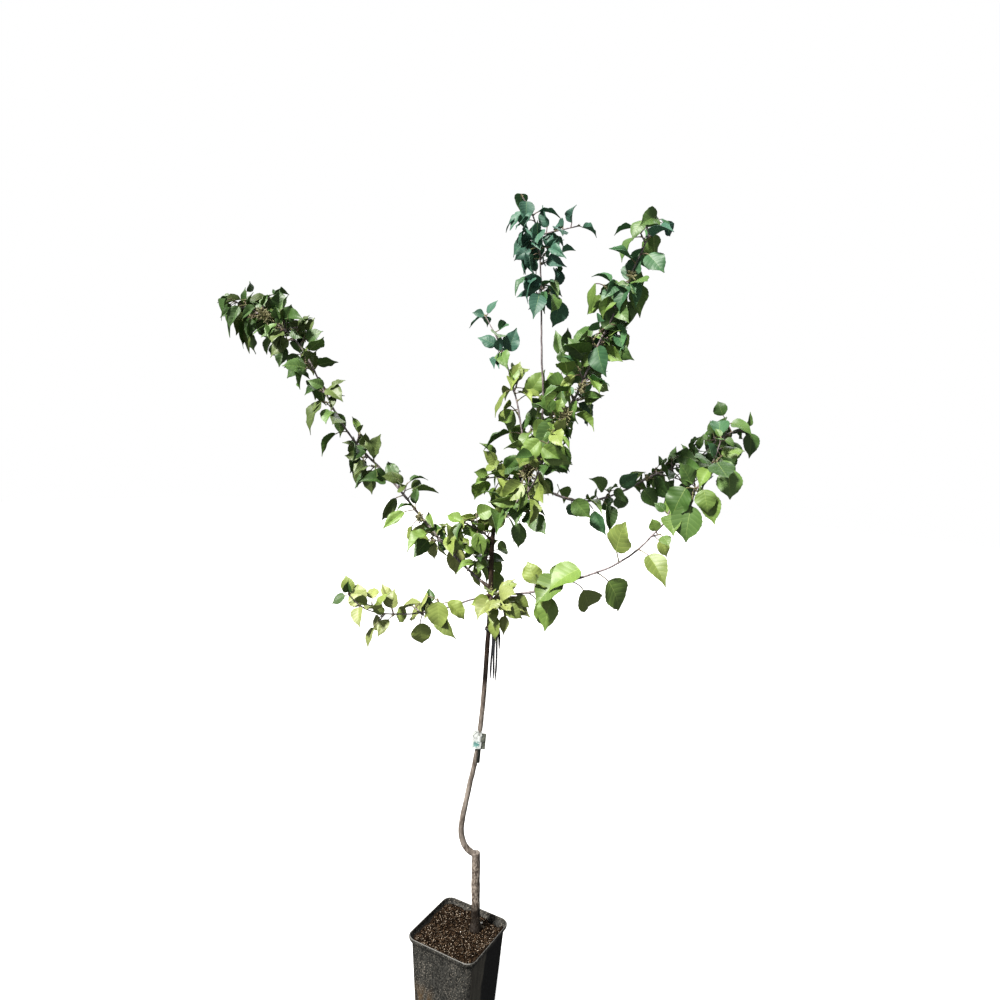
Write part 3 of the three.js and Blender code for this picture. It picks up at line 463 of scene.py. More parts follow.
def fan(tip, ring):
    """Three-sided faces from a tip to each side of a ring."""
    return [(tip, a, b) for a, b in zip(ring, [*ring[1:], ring[0]])]


def closed_rings(rings, ends):
    """Points and faces of rings of points, closed by a fan to a point at either end."""
    rows, sides, _ = rings.shape
    count = rows * sides
    faces = grid_faces(rows, sides, around=True)
    faces += [(tip, b, a) for tip, a, b in fan(count, range(sides))]
    faces += fan(count + 1, range(count - sides, count))
    return np.concatenate([rings.reshape(-1, 3), ends]), faces


def closed_sheet(front, back):
    """Points and faces of a thin body between two grids of points: its front, its back and then its rim."""
    rows, columns, _ = front.shape
    count = rows * columns
    top = grid_faces(rows, columns)
    bottom = [tuple(count + i for i in reversed(face)) for face in top]
    border = [*range(columns - 1), *range(columns - 1, count, columns)]
    border += [*range(count - 2, count - columns, -1), *range(count - columns, 0, -columns)]
    rim = [(now, last, count + last, count + now) for now, last in zip(border, border[-1:] + border)]
    return np.concatenate([front.reshape(-1, 3), back.reshape(-1, 3)]), top + bottom + rim


def circles(count):
    """The cosine and sine of evenly spaced angles round a circle, ready to be spread over rings of points."""
    angles = np.arange(count) * 2 * math.pi / count
    return np.cos(angles)[None, :, None], np.sin(angles)[None, :, None]


def tube(points, radii, sides=8, round_ends=True):
    """Points and faces of a closed tube along a path, whose rings are carried along it without a twist."""
    points = np.asarray(points, float)
    radii = np.broadcast_to(np.asarray(radii, float), (len(points),))
    tangents = units(np.gradient(points, axis=0))
    hint = hint_for(tangents[0])
    across = []
    for tangent in tangents:
        hint = unit(hint - tangent * np.dot(hint, tangent))
        across.append(hint)
    across = np.array(across)
    right, over = circles(sides)
    circle = across[:, None] * right + np.cross(tangents, across)[:, None] * over
    bulge = radii[[0, -1]] * (0.6 if round_ends else 0)
    ends = [points[0] - tangents[0] * bulge[0], points[-1] + tangents[-1] * bulge[1]]
    return closed_rings(points[:, None] + circle * radii[:, None, None], ends)


def curve(a, b, c, count):
    """Points on the smooth curve from a to c that heads for b first."""
    t = np.linspace(0, 1, count)[:, None]
    return (1 - t) ** 2 * a + 2 * t * (1 - t) * b + t * t * c


# Growing the masses
def sideways(tangent, hint, degrees):
    """A direction square to the tangent, turned round it from the hint's side."""
    first = unit(np.cross(tangent, hint))
    second = np.cross(tangent, first)
    return first * math.cos(math.radians(degrees)) + second * math.sin(math.radians(degrees))


def staggered(index, number, count):
    """The share of a stretch at which one of so many things stands."""
    return (index + 0.5 + (number - 0.5) * RULE["stagger"]) / count


def place_leaf(mass, numbers, index, node, tangent, hint, is_tip):
    """Where a leaf's stalk and blade lie, from six numbers between 0 and 1."""
    _, around, stalk, size, sag, turn = numbers
    angle = mass["phase"] + RULE["turn"] * index + (around - 0.5) * RULE["turn_jitter"]
    side = sideways(tangent, hint, angle)
    reach = unit(side + tangent * RULE["tip_lean" if is_tip else "lean"] + UP * RULE["lift"])
    length = mix(*mass["blade"], size) * (RULE["tip_size"] if is_tip else 1)
    stalk_length = length * (RULE["stalk_short"] + RULE["stalk_more"] * stalk)
    fallen = min(mass["droop"] * (RULE["fall_least"] + RULE["fall_more"] * sag), RULE["fall_most"])
    fall = fallen * (1 - RULE["fall_eased"] * max(reach[2], 0))
    base = node + reach * stalk_length - UP * stalk_length * RULE["stalk_fall"] * mass["droop"]
    ahead = reach * (RULE["ahead"] - RULE["ahead_eased"] * fall)
    along = unit(ahead - UP * fall + tangent * (turn - 0.5) * RULE["stray"])
    face = unit(LIGHT + side * RULE["face_out"])
    flat = unit(face - along * np.dot(face, along))
    twist = (stalk - 0.5) * RULE["twist"]
    normal = flat * math.cos(twist) + np.cross(along, flat) * math.sin(twist)
    return {"node": node, "reach": reach, "base": base, "along": along, "normal": normal, "length": length}


def on_blade(leaf, share):
    bend = RULE["curl"] * leaf["length"] * share * share
    return leaf["base"] + leaf["along"] * leaf["length"] * share - leaf["normal"] * bend


def grow_plan(mass, limb, hint):
    """Where each leaf and each spur of a mass stands, by the same draws as the solids'."""
    numbers = seeded(mass["seed"])
    draw = lambda count: [next(numbers) for _ in range(count)]
    span = mass["end"] - mass["start"]
    leaves = []
    spurs = []
    for i in range(mass["leaves"]):
        drawn = draw(6)
        is_tip = mass["tip"] and i == mass["leaves"] - 1
        share = 1 if is_tip else staggered(i, drawn[0], mass["leaves"])
        node, tangent = limb.at(mass["start"] + span * share)
        leaves.append(place_leaf(mass, drawn, i, node, tangent, hint, is_tip))
    count, per_spur, least, greatest = mass["spurs"]
    for k in range(count):
        where, around, size = draw(3)
        start, tangent = limb.at(mass["start"] + span * staggered(k, where, count))
        angle = mass["phase"] + RULE["spur_turn"] + RULE["turn"] * k + (around - 0.5) * RULE["spur_jitter"]
        heading = unit(sideways(tangent, hint, angle) + tangent * RULE["spur_lean"] + UP * RULE["spur_lift"])
        length = mix(least, greatest, size)
        spur = {"start": start, "end": start + heading * length, "heading": heading, "leaves": []}
        for j in range(per_spur):
            is_tip = j == per_spur - 1
            along = 1 if is_tip else (j + RULE["spur_first"]) / per_spur
            node = start + heading * length * along
            spur["leaves"].append(place_leaf(mass, draw(6), j, node, heading, hint, is_tip))
        spurs.append(spur)
    return leaves, spurs


def finer_shoots(mass, limb, hint):
    """Short leafy shoots between a mass's own spurs, finer than the solids show."""
    chance = np.random.default_rng(mass["seed"])
    shoots = []

    def grow(start, way, length, count, blade=FINER["blade"]):
        """Adds one straight shoot with small leaves evenly along it."""
        young = {**mass, "blade": blade, "droop": mass["droop"] * chance.uniform(*FINER["droop"])}
        shoot = {"start": start, "end": start + way * length, "heading": way, "leaves": []}
        for j in range(count):
            node = start + way * length * (j + 1) / count
            shoot["leaves"].append(place_leaf(young, chance.random(6), j, node, way, hint, j == count - 1))
        shoots.append(shoot)

    for _ in range(SHOOT_COUNTS.get(mass["name"], FINER["count"])):
        start, tangent = limb.at(chance.uniform(mass["start"], mass["end"] - FINER["short_of_end"]))
        side = sideways(tangent, hint, chance.uniform(0, 360))
        way = unit(side + tangent * FINER["lean"] + UP * FINER["lift"])
        count = int(chance.integers(*FINER["leaves"]))
        grow(start, way, chance.uniform(*FINER["length"]), count)
    for name, at, heading, pitch, length, count in LONE_SHOOTS:
        if name == mass["name"]:
            grow(limb.at(at)[0], turned_to(heading, pitch), length, count)
    if mass["tip"] and mass["name"] not in TIP_LEAVES["not_on"]:
        grow(*limb.at(mass["end"]), TIP_LEAVES["length"], TIP_LEAVES["leaves"], TIP_LEAVES["blade"])
    return shoots


class Clearance:
    """Tells whether a blade keeps off the limbs and keeps to its mass's space."""

    def __init__(self, limbs):
        places = []
        for name, limb in limbs.items():
            if name not in ("neck", "stem"):
                marks = np.arange(0, limb.length, CLEARANCE["limb_pace"])
                places += [[*limb.at(s)[0], limb.radius(s)] for s in marks]
        for name, at, _, reach, forward in KNOBS:
            view = CLEARANCE["view"] if forward > CLEARANCE["stands"] else 1
            for further in range(0, view, CLEARANCE["knob_pace"]):
                middle = limbs[name].at(at)[0] + FORWARD * (forward + further)
                places.append([*middle, reach * CLEARANCE["knob_part"]])
        centre = limbs["stem"].at(TIE["at"])[0]
        for right, _ in TIE["ends"]:
            for fallen in range(0, CLEAR_OF_TIE["depth"], CLEAR_OF_TIE["pace"]):
                middle = centre + SIDE * right - UP * fallen + FORWARD * CLEAR_OF_TIE["forward"]
                places.append([*middle, CLEAR_OF_TIE["radius"]])
        places = np.array(places)
        self.points = places[:, :3]
        self.radii = places[:, 3]

    def allows(self, mass, limb, leaf):
        own = np.array([limb.at(s)[0] for s in np.arange(mass["start"], mass["end"] + 1, STEP)])
        gap_to_own = lambda share: np.linalg.norm(own - on_blade(leaf, share), axis=1).min()
        if min(gap_to_own(share) for share in (0.3, 0.6, 0.9)) <= RULE["clear"]:
            return False
        if gap_to_own(1) >= RULE["space"]:
            return False
        across = np.cross(leaf["along"], leaf["normal"]) * leaf["length"] * CLEARANCE["aside"]
        for share, offset in itertools.product((0.15, 0.35, 0.6, 0.85), (-1, 0, 1)):
            gaps = np.linalg.norm(self.points - on_blade(leaf, share) - across * offset, axis=1) - self.radii
            if gaps.min() < CLEARANCE["gap"]:
                return False
        return True


class Crown:
    """Grows every mass once and keeps what the pieces are made from."""

    def __init__(self, limbs):
        self.limbs = limbs
        self.masses = []
        self.leaves = []
        self.spurs = []
        self.nodes = {name: [] for name in limbs}
        clearance = Clearance(limbs)
        for row in MASSES:
            mass = {"spurs": NO_SPURS, **dict(zip(MASS_FIELDS, row))}
            limb = limbs[mass["limb"]]
            mass["tip"] = mass["end"] > limb.length - 1
            self.masses.append(mass)
            self.grow(mass, limb, clearance)

    def grow(self, mass, limb, clearance):
        """Adds a mass's leaves that are clear, and its spurs that still bear a leaf."""
        hint = hint_for(unit(limb.at(mass["end"])[0] - limb.at(mass["start"])[0]))
        facing = LEAF_FACING.get(mass["limb"], 0)

        def kept(leaves):
            turned_leaves = [faced(leaf, facing) for leaf in leaves]
            return [leaf for leaf in turned_leaves if clearance.allows(mass, limb, leaf)]

        leaves, spurs = grow_plan(mass, limb, hint)
        spurs += finer_shoots(mass, limb, hint)
        for spur in spurs:
            spur["leaves"] = kept(spur["leaves"])
        spurs = [spur for spur in spurs if spur["leaves"]]
        self.spurs += spurs
        self.leaves += [(mass, leaf) for leaf in kept(leaves)]
        self.leaves += [(mass, leaf) for spur in spurs for leaf in spur["leaves"]]
        self.nodes[mass["limb"]] += [limb.mark_of(leaf["node"]) for leaf in leaves]


# Blades
def blade_half_width(u):
    half = RULE["half_width"] * np.sin(math.pi * np.clip(u, 0, 1) ** OUTLINE["broad_at"]) ** OUTLINE["round"]
    for amount, start, end in OUTLINE["narrowings"]:
        half = half * (1 - amount * smoothstep(u, start, end))
    return half


def blade_shape(leaf, shape):
    """The middle surface of a blade as rows by columns of points, and the pattern's place of each.

    shape holds how far the blade folds, cups, waves, hooks at its tip, turns along its length and sags.
    """
    length = leaf["length"]
    even = np.linspace(0, 1, shape["rows"])
    u = 0.5 * even + 0.5 * (1 - np.cos(math.pi * even)) / 2
    teeth = 1 + TEETH * np.where(np.arange(len(u)) % 2 == 0, 1, -1) * (u > 0.08) * (u < 0.94)
    half = np.maximum(blade_half_width(u) * length * teeth, 0.45) * shape["broad"]
    rib = np.clip(0.9 - 0.6 * u, 0.3, 1) * length / 130
    v = np.array(BLADE_COLUMNS, float)
    side = np.abs(v)
    x = v * half[:, None]
    x[:, RIB_COLUMN] = -np.minimum(rib, half * 0.2)
    x[:, RIB_COLUMN + 1] = -x[:, RIB_COLUMN]
    phase = np.where(v < 0, shape["phase"], shape["phase"] + 0.4)
    swing = np.sin(2 * math.pi * (shape["waves"] * u[:, None] + phase))
    lift = np.abs(x) * math.sin(shape["fold"]) * (1 - 0.3 * side)
    lift -= shape["cup"] * np.abs(x) * side
    lift += shape["wave"] * length * swing * side**2 * np.sin(math.pi * u)[:, None] ** 0.6
    quilt = np.cos(2 * math.pi * (7 * u[:, None] - 1.5 * side)) * side * (1 - side)
    lift += quilt * QUILT * length
    bend = RULE["curl"] * u**2 + shape["hook"] * u**5
    across = np.cross(leaf["along"], leaf["normal"])
    turn = shape["turn"] * (u - 0.3)
    sidewise = across * np.cos(turn)[:, None] + leaf["normal"] * np.sin(turn)[:, None]
    upward = leaf["normal"] * np.cos(turn)[:, None] - across * np.sin(turn)[:, None]
    middle = leaf["base"] + np.outer(u, leaf["along"]) * length - np.outer(bend, leaf["normal"]) * length
    middle -= np.outer(u**2, UP) * shape["sag"] * length
    narrow = math.cos(shape["fold"])
    points = middle[:, None] + sidewise[:, None] * x[..., None] * narrow + upward[:, None] * lift[..., None]
    return points, np.stack(np.broadcast_arrays(v / 2 + 0.5, u[:, None]), axis=-1)


def add_blade(pile, leaf, shape):
    """A closed thin leaf: its upper face in slot 0, the pale underside in 1, and the midrib in 2."""
    points, spots = blade_shape(leaf, shape)
    rows, columns, _ = points.shape
    normals = np.cross(np.gradient(points, axis=1), np.gradient(points, axis=0))
    normals /= np.linalg.norm(normals, axis=2)[..., None] + 1e-9
    below = np.full((columns, 1), BLADE_THICK)
    below[RIB_COLUMN:RIB_COLUMN + 2] += RIB_THICK
    body, faces = closed_sheet(points + normals * BLADE_THICK, points - normals * below)
    on_rib = [j == RIB_COLUMN for _ in range(rows - 1) for j in range(columns - 1)]
    slots = [2 if rib else face for face in (0, 1) for rib in on_rib]
    slots += [0] * (len(faces) - len(slots))
    pile.add(body, faces, slots, np.concatenate([spots.reshape(-1, 2)] * 2))


def faced(leaf, share):
    """The leaf with its upper face turned part of the way to the light."""
    lit = LIGHT - leaf["along"] * np.dot(LIGHT, leaf["along"])
    return {**leaf, "normal": unit(mix(leaf["normal"], lit, share))}


def rolled(leaf, angle):
    """The leaf turned about its own length."""
    across = np.cross(leaf["along"], leaf["normal"])
    return {**leaf, "normal": leaf["normal"] * math.cos(angle) + across * math.sin(angle)}


# Materials
def linear(colour):
    """A colour such as #4f8a2c as linear red, green, blue and alpha."""
    parts = [int(colour[i:i + 2], 16) / 255 for i in (1, 3, 5)]
    return (*(c / 12.92 if c <= 0.04045 else ((c + 0.055) / 1.055) ** 2.4 for c in parts), 1.0)


def hex_of(rgb):
    """Linear red, green and blue as a colour such as #4f8a2c."""
    parts = [c * 12.92 if c <= 0.0031308 else 1.055 * c ** (1 / 2.4) - 0.055 for c in np.clip(rgb, 0, 1)]
    return "#" + "".join(f"{round(c * 255):02x}" for c in parts)


class Nodes:
    """Makes and joins the nodes of one tree."""

    def __init__(self, tree):
        self.tree = tree

    def feed(self, socket, source):
        if isinstance(source, bpy.types.NodeSocket):
            self.tree.links.new(source, socket)
        else:
            socket.default_value = source

    def node(self, kind, *sources, sockets=None, **settings):
        """A node with these settings, whose first sockets are fed in order and others by name."""
        made = self.tree.nodes.new(kind)
        for name, value in settings.items():
            setattr(made, name, value)
        for socket, source in {**dict(enumerate(sources)), **(sockets or {})}.items():
            self.feed(made.inputs[socket], source)
        return made

    def maths(self, operation, *values):
        return self.node("ShaderNodeMath", *values, operation=operation).outputs[0]


class Finish(Nodes):
    """A material with one Principled shader, and the nodes that drive it. Its patterns are in millimetres."""

    def __init__(self, name, colour, roughness, specular):
        self.material = bpy.data.materials.new(name)
        self.material.use_nodes = True
        self.material.diffuse_color = linear(colour)
        super().__init__(self.material.node_tree)
        self.inputs = self.tree.nodes["Principled BSDF"].inputs
        self.paint(linear(colour))
        self.gloss(roughness)
        self.feed(self.inputs["Specular IOR Level"], specular)
        self.coordinates = self.node("ShaderNodeTexCoord").outputs

    def paint(self, colour):
        self.feed(self.inputs["Base Color"], colour)

    def gloss(self, value):
        self.feed(self.inputs["Roughness"], value)

    def bump(self, height, depth, strength):
        sockets = {"Strength": strength, "Distance": depth * MM, "Height": height}
        made = self.node("ShaderNodeBump", sockets=sockets)
        before = self.inputs["Normal"]
        if before.is_linked:
            self.feed(made.inputs["Normal"], before.links[0].from_socket)
        self.feed(before, made.outputs[0])

    def pattern(self, kind, size, stretch, sockets=None, **settings):
        """A texture node over the object, with a bump or a cell about every size."""
        place = self.node("ShaderNodeMapping", self.coordinates["Object"], sockets={"Scale": stretch})
        sockets = {"Scale": 1 / (size * MM), **(sockets or {})}
        return self.node(kind, place.outputs[0], sockets=sockets, **settings).outputs

    def noise(self, size, detail=3, rough=0.55, stretch=(1, 1, 1)):
        sockets = {"Detail": detail, "Roughness": rough}
        return self.pattern("ShaderNodeTexNoise", size, stretch, sockets)["Fac"]

    def cells(self, size, stretch=(1, 1, 1), kind="F1"):
        return self.pattern("ShaderNodeTexVoronoi", size, stretch, feature=kind)["Distance"]

    def axes(self, source="Object"):
        """Three sockets: the place's parts along X, Y and Z, or over the pattern where the source is UV."""
        return self.node("ShaderNodeSeparateXYZ", self.coordinates[source]).outputs

    def times(self, first, *others):
        for other in others:
            first = self.maths("MULTIPLY", first, other)
        return first

    def between(self, value, low, high):
        """0 below low, 1 above high, and smooth between them."""
        return self.node("ShaderNodeMapRange", value, low, high, interpolation_type="SMOOTHSTEP").outputs[0]

    def beyond(self, axes, heading, low, high, taper=0.0, stray=None):
        """How far a place lies towards a level heading in degrees, from 0 at low to 1 at high.

        taper is how much further out low and high lie per metre up, and stray moves the place, in metres.
        """
        angle = math.radians(heading)
        along = self.times(axes[0], math.cos(angle))
        along = self.maths("MULTIPLY_ADD", axes[1], math.sin(angle), along)
        along = self.maths("MULTIPLY_ADD", axes[2], -taper, along)
        if stray is not None:
            along = self.maths("ADD", along, stray)
        return self.between(along, low, high)

    def blend(self, share, a, b):
        a, b = (linear(colour) if isinstance(colour, str) else colour for colour in (a, b))
        sockets = {"Factor": share, "A": a, "B": b}
        return self.node("ShaderNodeMix", sockets=sockets, data_type="RGBA").outputs["Result"]

    def mottled(self, pattern, low, high, dark, light):
        """Dark where the pattern is below low and light where it is above high."""
        return self.blend(self.between(pattern, low, high), dark, light)

    def washed(self, colour, over, *shares):
        """A colour with another laid over it, as strongly as the shares' product."""
        return self.blend(self.times(*shares), colour, over)


def leaf_finish(name, colour, shine, underside=False):
    """A leaf's skin: a slightly different shade on each leaf, pale side veins and a fine grain."""
    finish = Finish(name, colour, 0.65 if underside else 0.52, shine)
    red, green, blue, _ = linear(colour)
    darker = (red * 0.72, green * 0.72, blue * 0.72, 1)
    lighter = (red * 1.22 + 0.004, green * 1.16 + 0.004, blue * 1.05, 1)
    pale = (red * 1.5 + 0.03, green * 1.3 + 0.03, blue * 1.3 + 0.01, 1)
    chance = finish.node("ShaderNodeNewGeometry").outputs["Random Per Island"]
    blotch = finish.between(finish.noise(16, 3), 0.35, 0.7)
    shade = finish.washed(finish.blend(chance, darker, lighter), darker, blotch, 0.3)
    across, along, _ = finish.axes("UV")
    side = finish.maths("ABSOLUTE", finish.maths("SUBTRACT", across, 0.5))
    slant = finish.maths("SUBTRACT", finish.times(along, 7.0), finish.times(side, 3.0))
    line = finish.maths("ABSOLUTE", finish.maths("SINE", finish.times(slant, math.pi)))
    finish.paint(finish.washed(shade, pale, finish.between(line, 0.3, 0.0), 0.5))
    finish.bump(line, 0.5, 0.5 if underside else 0.35)
    finish.bump(finish.noise(2.2, 2), 0.25, 0.4)
    return finish.material


def rib_finish(name, colour):
    finish = Finish(name, colour, 0.5, 0.4)
    finish.paint(finish.blend(finish.noise(3, 2), colour, "#a9b56a"))
    return finish.material


def bark_finish():
    """Grey-brown bark with pale breathing pores, rough on the rootstock, smoother up the stem and darker, in
    part painted shade.
    """
    finish = Finish("bark", "#6b5a4c", 0.78, 0.35)
    height = finish.axes()[2]
    streaks = finish.noise(7, 5, 0.65, (1, 1, 0.28))
    flakes = finish.noise(3.2, 4, 0.6, (1, 1, 0.55))
    young = finish.mottled(streaks, 0.3, 0.72, "#50473f", "#968d84")
    dark = finish.mottled(streaks, 0.3, 0.75, "#221914", "#4c3a2e")
    old = finish.mottled(flakes, 0.35, 0.68, "#3e352e", "#9c9186")
    # In part painted shade: the bark turns darker up the stem, under the crown
    smooth = finish.mottled(height, 0.62, 0.86, young, dark)
    colour = finish.mottled(height, 0.41, 0.37, smooth, old)
    colour = finish.washed(colour, "#120c08", finish.between(height, 0.3, 0.262), 0.92)
    pores = finish.between(finish.cells(4.5, (0.55, 0.55, 1.8)), 0.17, 0.07)
    finish.paint(finish.washed(colour, "#b9a892", pores, 0.55))
    finish.gloss(finish.between(flakes, -0.6, 1.5))
    finish.bump(streaks, 0.9, 0.7)
    finish.bump(flakes, 0.5, 0.6)
    finish.bump(pores, 0.4, 0.5)
    return finish.material


def twig_finish():
    """Young wood, mauve-grey in streaks of dark and light, with fine pores."""
    finish = Finish("young_bark", "#7d6a62", 0.55, 0.4)
    streaks = finish.noise(4, 4, 0.6, (1, 1, 0.5))
    colour = finish.mottled(streaks, 0.3, 0.7, "#544a4c", "#968b8d")
    pores = finish.between(finish.cells(3), 0.16, 0.06)
    finish.paint(finish.washed(colour, "#c9b9a6", pores, 0.6))
    finish.bump(streaks, 0.3, 0.5)
    finish.bump(pores, 0.2, 0.5)
    return finish.material


def mottled_finish(name, skin, tone, band, shades, bump, bump_tone=None):
    """A surface of two shades.

    skin is its base colour, roughness and shine, tone the noise of its shades, band the part of that noise
    where dark turns to light, bump the depth and strength, and bump_tone the bump's own noise.
    """
    finish = Finish(name, *skin)
    tones = finish.noise(*tone)
    finish.paint(finish.mottled(tones, *band, *shades))
    finish.bump(finish.noise(*bump_tone) if bump_tone else tones, *bump)
    return finish.material


def soil_finish(name, dark, light):
    return mottled_finish(name, (dark, 0.95, 0.08), (2.4, 4, 0.7), (0.35, 0.7), (dark, light), (1.2, 0.9))


def plain_finish(name, dark, light, roughness):
    """A moulded or printed surface with a little unevenness in its colour and its skin."""
    skin = (dark, roughness, 0.45)
    return mottled_finish(name, skin, (3, 3), (0.3, 0.7), (dark, light), (0.1, 0.5), (1.2, 2))


def pot_finish():
    """Black moulded plastic with dust, splashes of dried mud and a tan stain low on one side.

    The side that faces right is painted a lighter grey as painted light, and its far part, behind a ragged
    edge, is painted near black as painted shade. The lip's top edge carries a painted highlight, most of all
    in front.
    """
    finish = Finish("pot_plastic", "#121314", 0.42, 0.14)
    axes = finish.axes()
    cloud = finish.noise(45, 4, 0.6)
    fine = finish.noise(1.6, 3, 0.7)
    grain = finish.noise(3.4, 2, 0.7, (1, 1, 0.6))
    runs = finish.noise(6, 4, 0.6, (1, 1, 0.12))
    colour = finish.mottled(grain, 0.36, 0.66, "#1a1a19", "#3c3c39")
    dusty = finish.times(finish.between(runs, 0.42, 0.72), finish.between(cloud, 0.3, 0.7))
    colour = finish.washed(colour, "#52504b", dusty, 0.6)
    splashes = finish.between(finish.cells(3.0, (1, 1, 0.7)), 0.34, 0.16)
    specks = finish.times(splashes, finish.between(cloud, 0.25, 0.6))
    colour = finish.washed(colour, "#918b80", specks, 0.75)
    low = finish.between(axes[2], 0.15, 0.05)
    left = finish.between(axes[0], -0.035, -0.062)
    patches = finish.between(finish.noise(11, 3, 0.6, (1, 1, 0.4)), 0.36, 0.6)
    colour = finish.washed(colour, "#6b5231", low, left, patches, 0.85)
    taper = (POT["top"] - POT["bottom"]) / 2 / POT["height"]
    on_right_side = finish.beyond(axes, POT["turn"] - 90, 0.0604, 0.0614, taper)
    on_right_side = finish.times(on_right_side, finish.between(axes[2], 0.2160, 0.2120))
    # Painted light: the side that faces right, below the rim, is painted a lighter grey as though lit
    right_side_painted_light = finish.mottled(runs, 0.35, 0.65, "#4b4841", "#5d5a51")
    colour = finish.washed(colour, right_side_painted_light, on_right_side, 0.78)
    # Painted shade: the far part of that side, behind a ragged edge, is painted near black
    stray = finish.maths("MULTIPLY_ADD", finish.noise(18, 5, 0.7, (1, 1, 0.3)), 0.06, -0.03)
    right_side_painted_shade = finish.times(on_right_side, finish.beyond(axes, POT["turn"], -0.019, -0.006, stray=stray))
    painted_shade_tone = finish.mottled(grain, 0.36, 0.66, "#1b1c1e", "#27282a")
    colour = finish.washed(colour, painted_shade_tone, right_side_painted_shade, 0.92)
    # Painted highlight: the lip's top edge is painted light, faintly all round and most of all on the side
    # facing front left
    lip = finish.between(axes[2], 0.2288, 0.2298)
    front = finish.maths("MULTIPLY_ADD", finish.beyond(axes, POT["turn"] + 180, 0.07, 0.076), 0.6, 0.2)
    finish.paint(finish.washed(colour, "#747471", lip, front))
    dull = finish.between(finish.maths("ADD", fine, finish.times(dusty, 0.6)), -0.6, 1.5)
    finish.gloss(finish.maths("MULTIPLY_ADD", finish.between(axes[2], 0.221, 0.226), -0.25, dull))
    finish.bump(finish.noise(1.1, 2), 0.08, 0.5)
    finish.bump(specks, 0.25, 0.6)
    return finish.material


def tag_face_finish():
    """White card with dark lines over its upper part and a washed-out teal corner."""
    finish = Finish("tag_face", "#cdd3d0", 0.42, 0.45)
    across, along, _ = finish.axes("UV")
    ragged = finish.times(finish.maths("SUBTRACT", finish.noise(4, 3), 0.5), 0.4)
    edge = lambda place, low, high: finish.between(finish.maths("ADD", place, ragged), low, high)
    ends = finish.times(edge(along, 0.44, 0.34), edge(along, 0.06, 0.16))
    sides = finish.times(edge(across, 0.05, 0.3), edge(across, 0.9, 0.72))
    white = finish.mottled(finish.noise(5, 3), 0.35, 0.65, "#c4cac7", "#dfe3e1")
    dark_lines = finish.between(finish.cells(9, kind="DISTANCE_TO_EDGE"), 0.07, 0.02)
    upper = finish.between(along, 0.45, 0.6)
    white = finish.washed(white, "#3a3c3b", dark_lines, finish.times(upper, 0.8))
    teal = finish.mottled(finish.noise(3, 3), 0.3, 0.7, "#4f8580", "#86ada6")
    finish.paint(finish.washed(white, teal, ends, sides))
    finish.bump(finish.noise(2.5, 2), 0.2, 0.5)
    return finish.material


# The pot
def rounded_square(half, corner, arc_steps=9, side_steps=9):
    """Points round a rounded square, anticlockwise."""
    middles = np.array([(1, 1), (-1, 1), (-1, -1), (1, -1)]) * (half - corner)

    def on_arc(quarter, turn):
        angle = math.radians(90 * turn)
        return middles[quarter % 4] + corner * np.array([math.cos(angle), math.sin(angle)])

    points = []
    for quarter in range(4):
        points += [on_arc(quarter, quarter + k / arc_steps) for k in range(arc_steps + 1)]
        start, end = points[-1], on_arc(quarter + 1, quarter + 1)
        points += [mix(start, end, k / side_steps) for k in range(1, side_steps)]
    return np.array(points)


def turned(points):
    """Points in the pot's own square frame, turned as it stands."""
    angle = math.radians(POT["turn"])
    c, s = math.cos(angle), math.sin(angle)
    points = np.asarray(points, float)
    x = points[..., 0] * c - points[..., 1] * s
    y = points[..., 0] * s + points[..., 1] * c
    return np.stack([x, y, *np.moveaxis(points[..., 2:], -1, 0)], axis=-1)


def wall_half(z):
    return mix(POT["bottom"], POT["top"], z / POT["height"]) / 2


def pot_profile():
    """(height, half side) pairs from the underside's edge up the wall, over the rim and down the inside."""
    top, rim, wall = POT["height"], POT["rim"] / 2, POT["wall"]
    outside = [(0, wall_half(0) - 2.2), (0.7, wall_half(0) - 0.8), (2.4, wall_half(2.4))]
    outside += [(z, wall_half(z)) for z in np.linspace(12, top - 17, 18)]
    lip = [(top - 15, wall_half(top - 15) + 0.3)]
    lip += [(top - drop, rim - inset) for drop, inset in POT_RIM]
    lip += [(top - 13, wall_half(top - 13) - wall + 0.4)]
    inside = [(z, wall_half(z) - wall) for z in np.linspace(top - 17, 12, 12)]
    inside += [(POT["floor"] + 2, wall_half(5) - wall - 0.6), (POT["floor"], wall_half(3) - wall - 2.6)]
    return outside + lip + inside


def pot_piece():
    rings = []
    for z, half in pot_profile():
        outline = rounded_square(half, POT["corner"] * half / (POT["rim"] / 2))
        around = np.arctan2(outline[:, 1], outline[:, 0])
        bow = 1 - POT_BOW * math.sin(math.pi * z / POT["height"]) * np.cos(2 * around) ** 2
        rings.append(turned(np.column_stack([outline * bow[:, None], np.full(len(outline), z)])))
    count = len(rings[0])
    faces = grid_faces(len(rings), count, around=True)
    faces.append(tuple(reversed(range(count))))
    faces.append(tuple(range((len(rings) - 1) * count, len(rings) * count)))
    pile = Pile()
    pile.add(np.concatenate(rings), faces)
    shell = pile.piece("pot_shell", [pot_finish()], "pot", sharp=60)
    for x, y in itertools.product((1, -1), (1, -1)):
        cut_drain(shell, turned([x * POT["drain_at"], y * POT["drain_at"], POT["floor"] / 2]))
    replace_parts(shell, "pot")


def cut_drain(shell, centre):
    """Cuts one round drain hole through the pot's floor."""
    bpy.ops.mesh.primitive_cylinder_add(
        vertices=40, radius=POT["drain_radius"] * MM, depth=3 * POT["floor"] * MM, location=centre * MM)
    cutter = bpy.context.active_object
    modify(shell, "BOOLEAN", operation="DIFFERENCE", solver="EXACT", object=cutter)
    bpy.data.objects.remove(cutter)


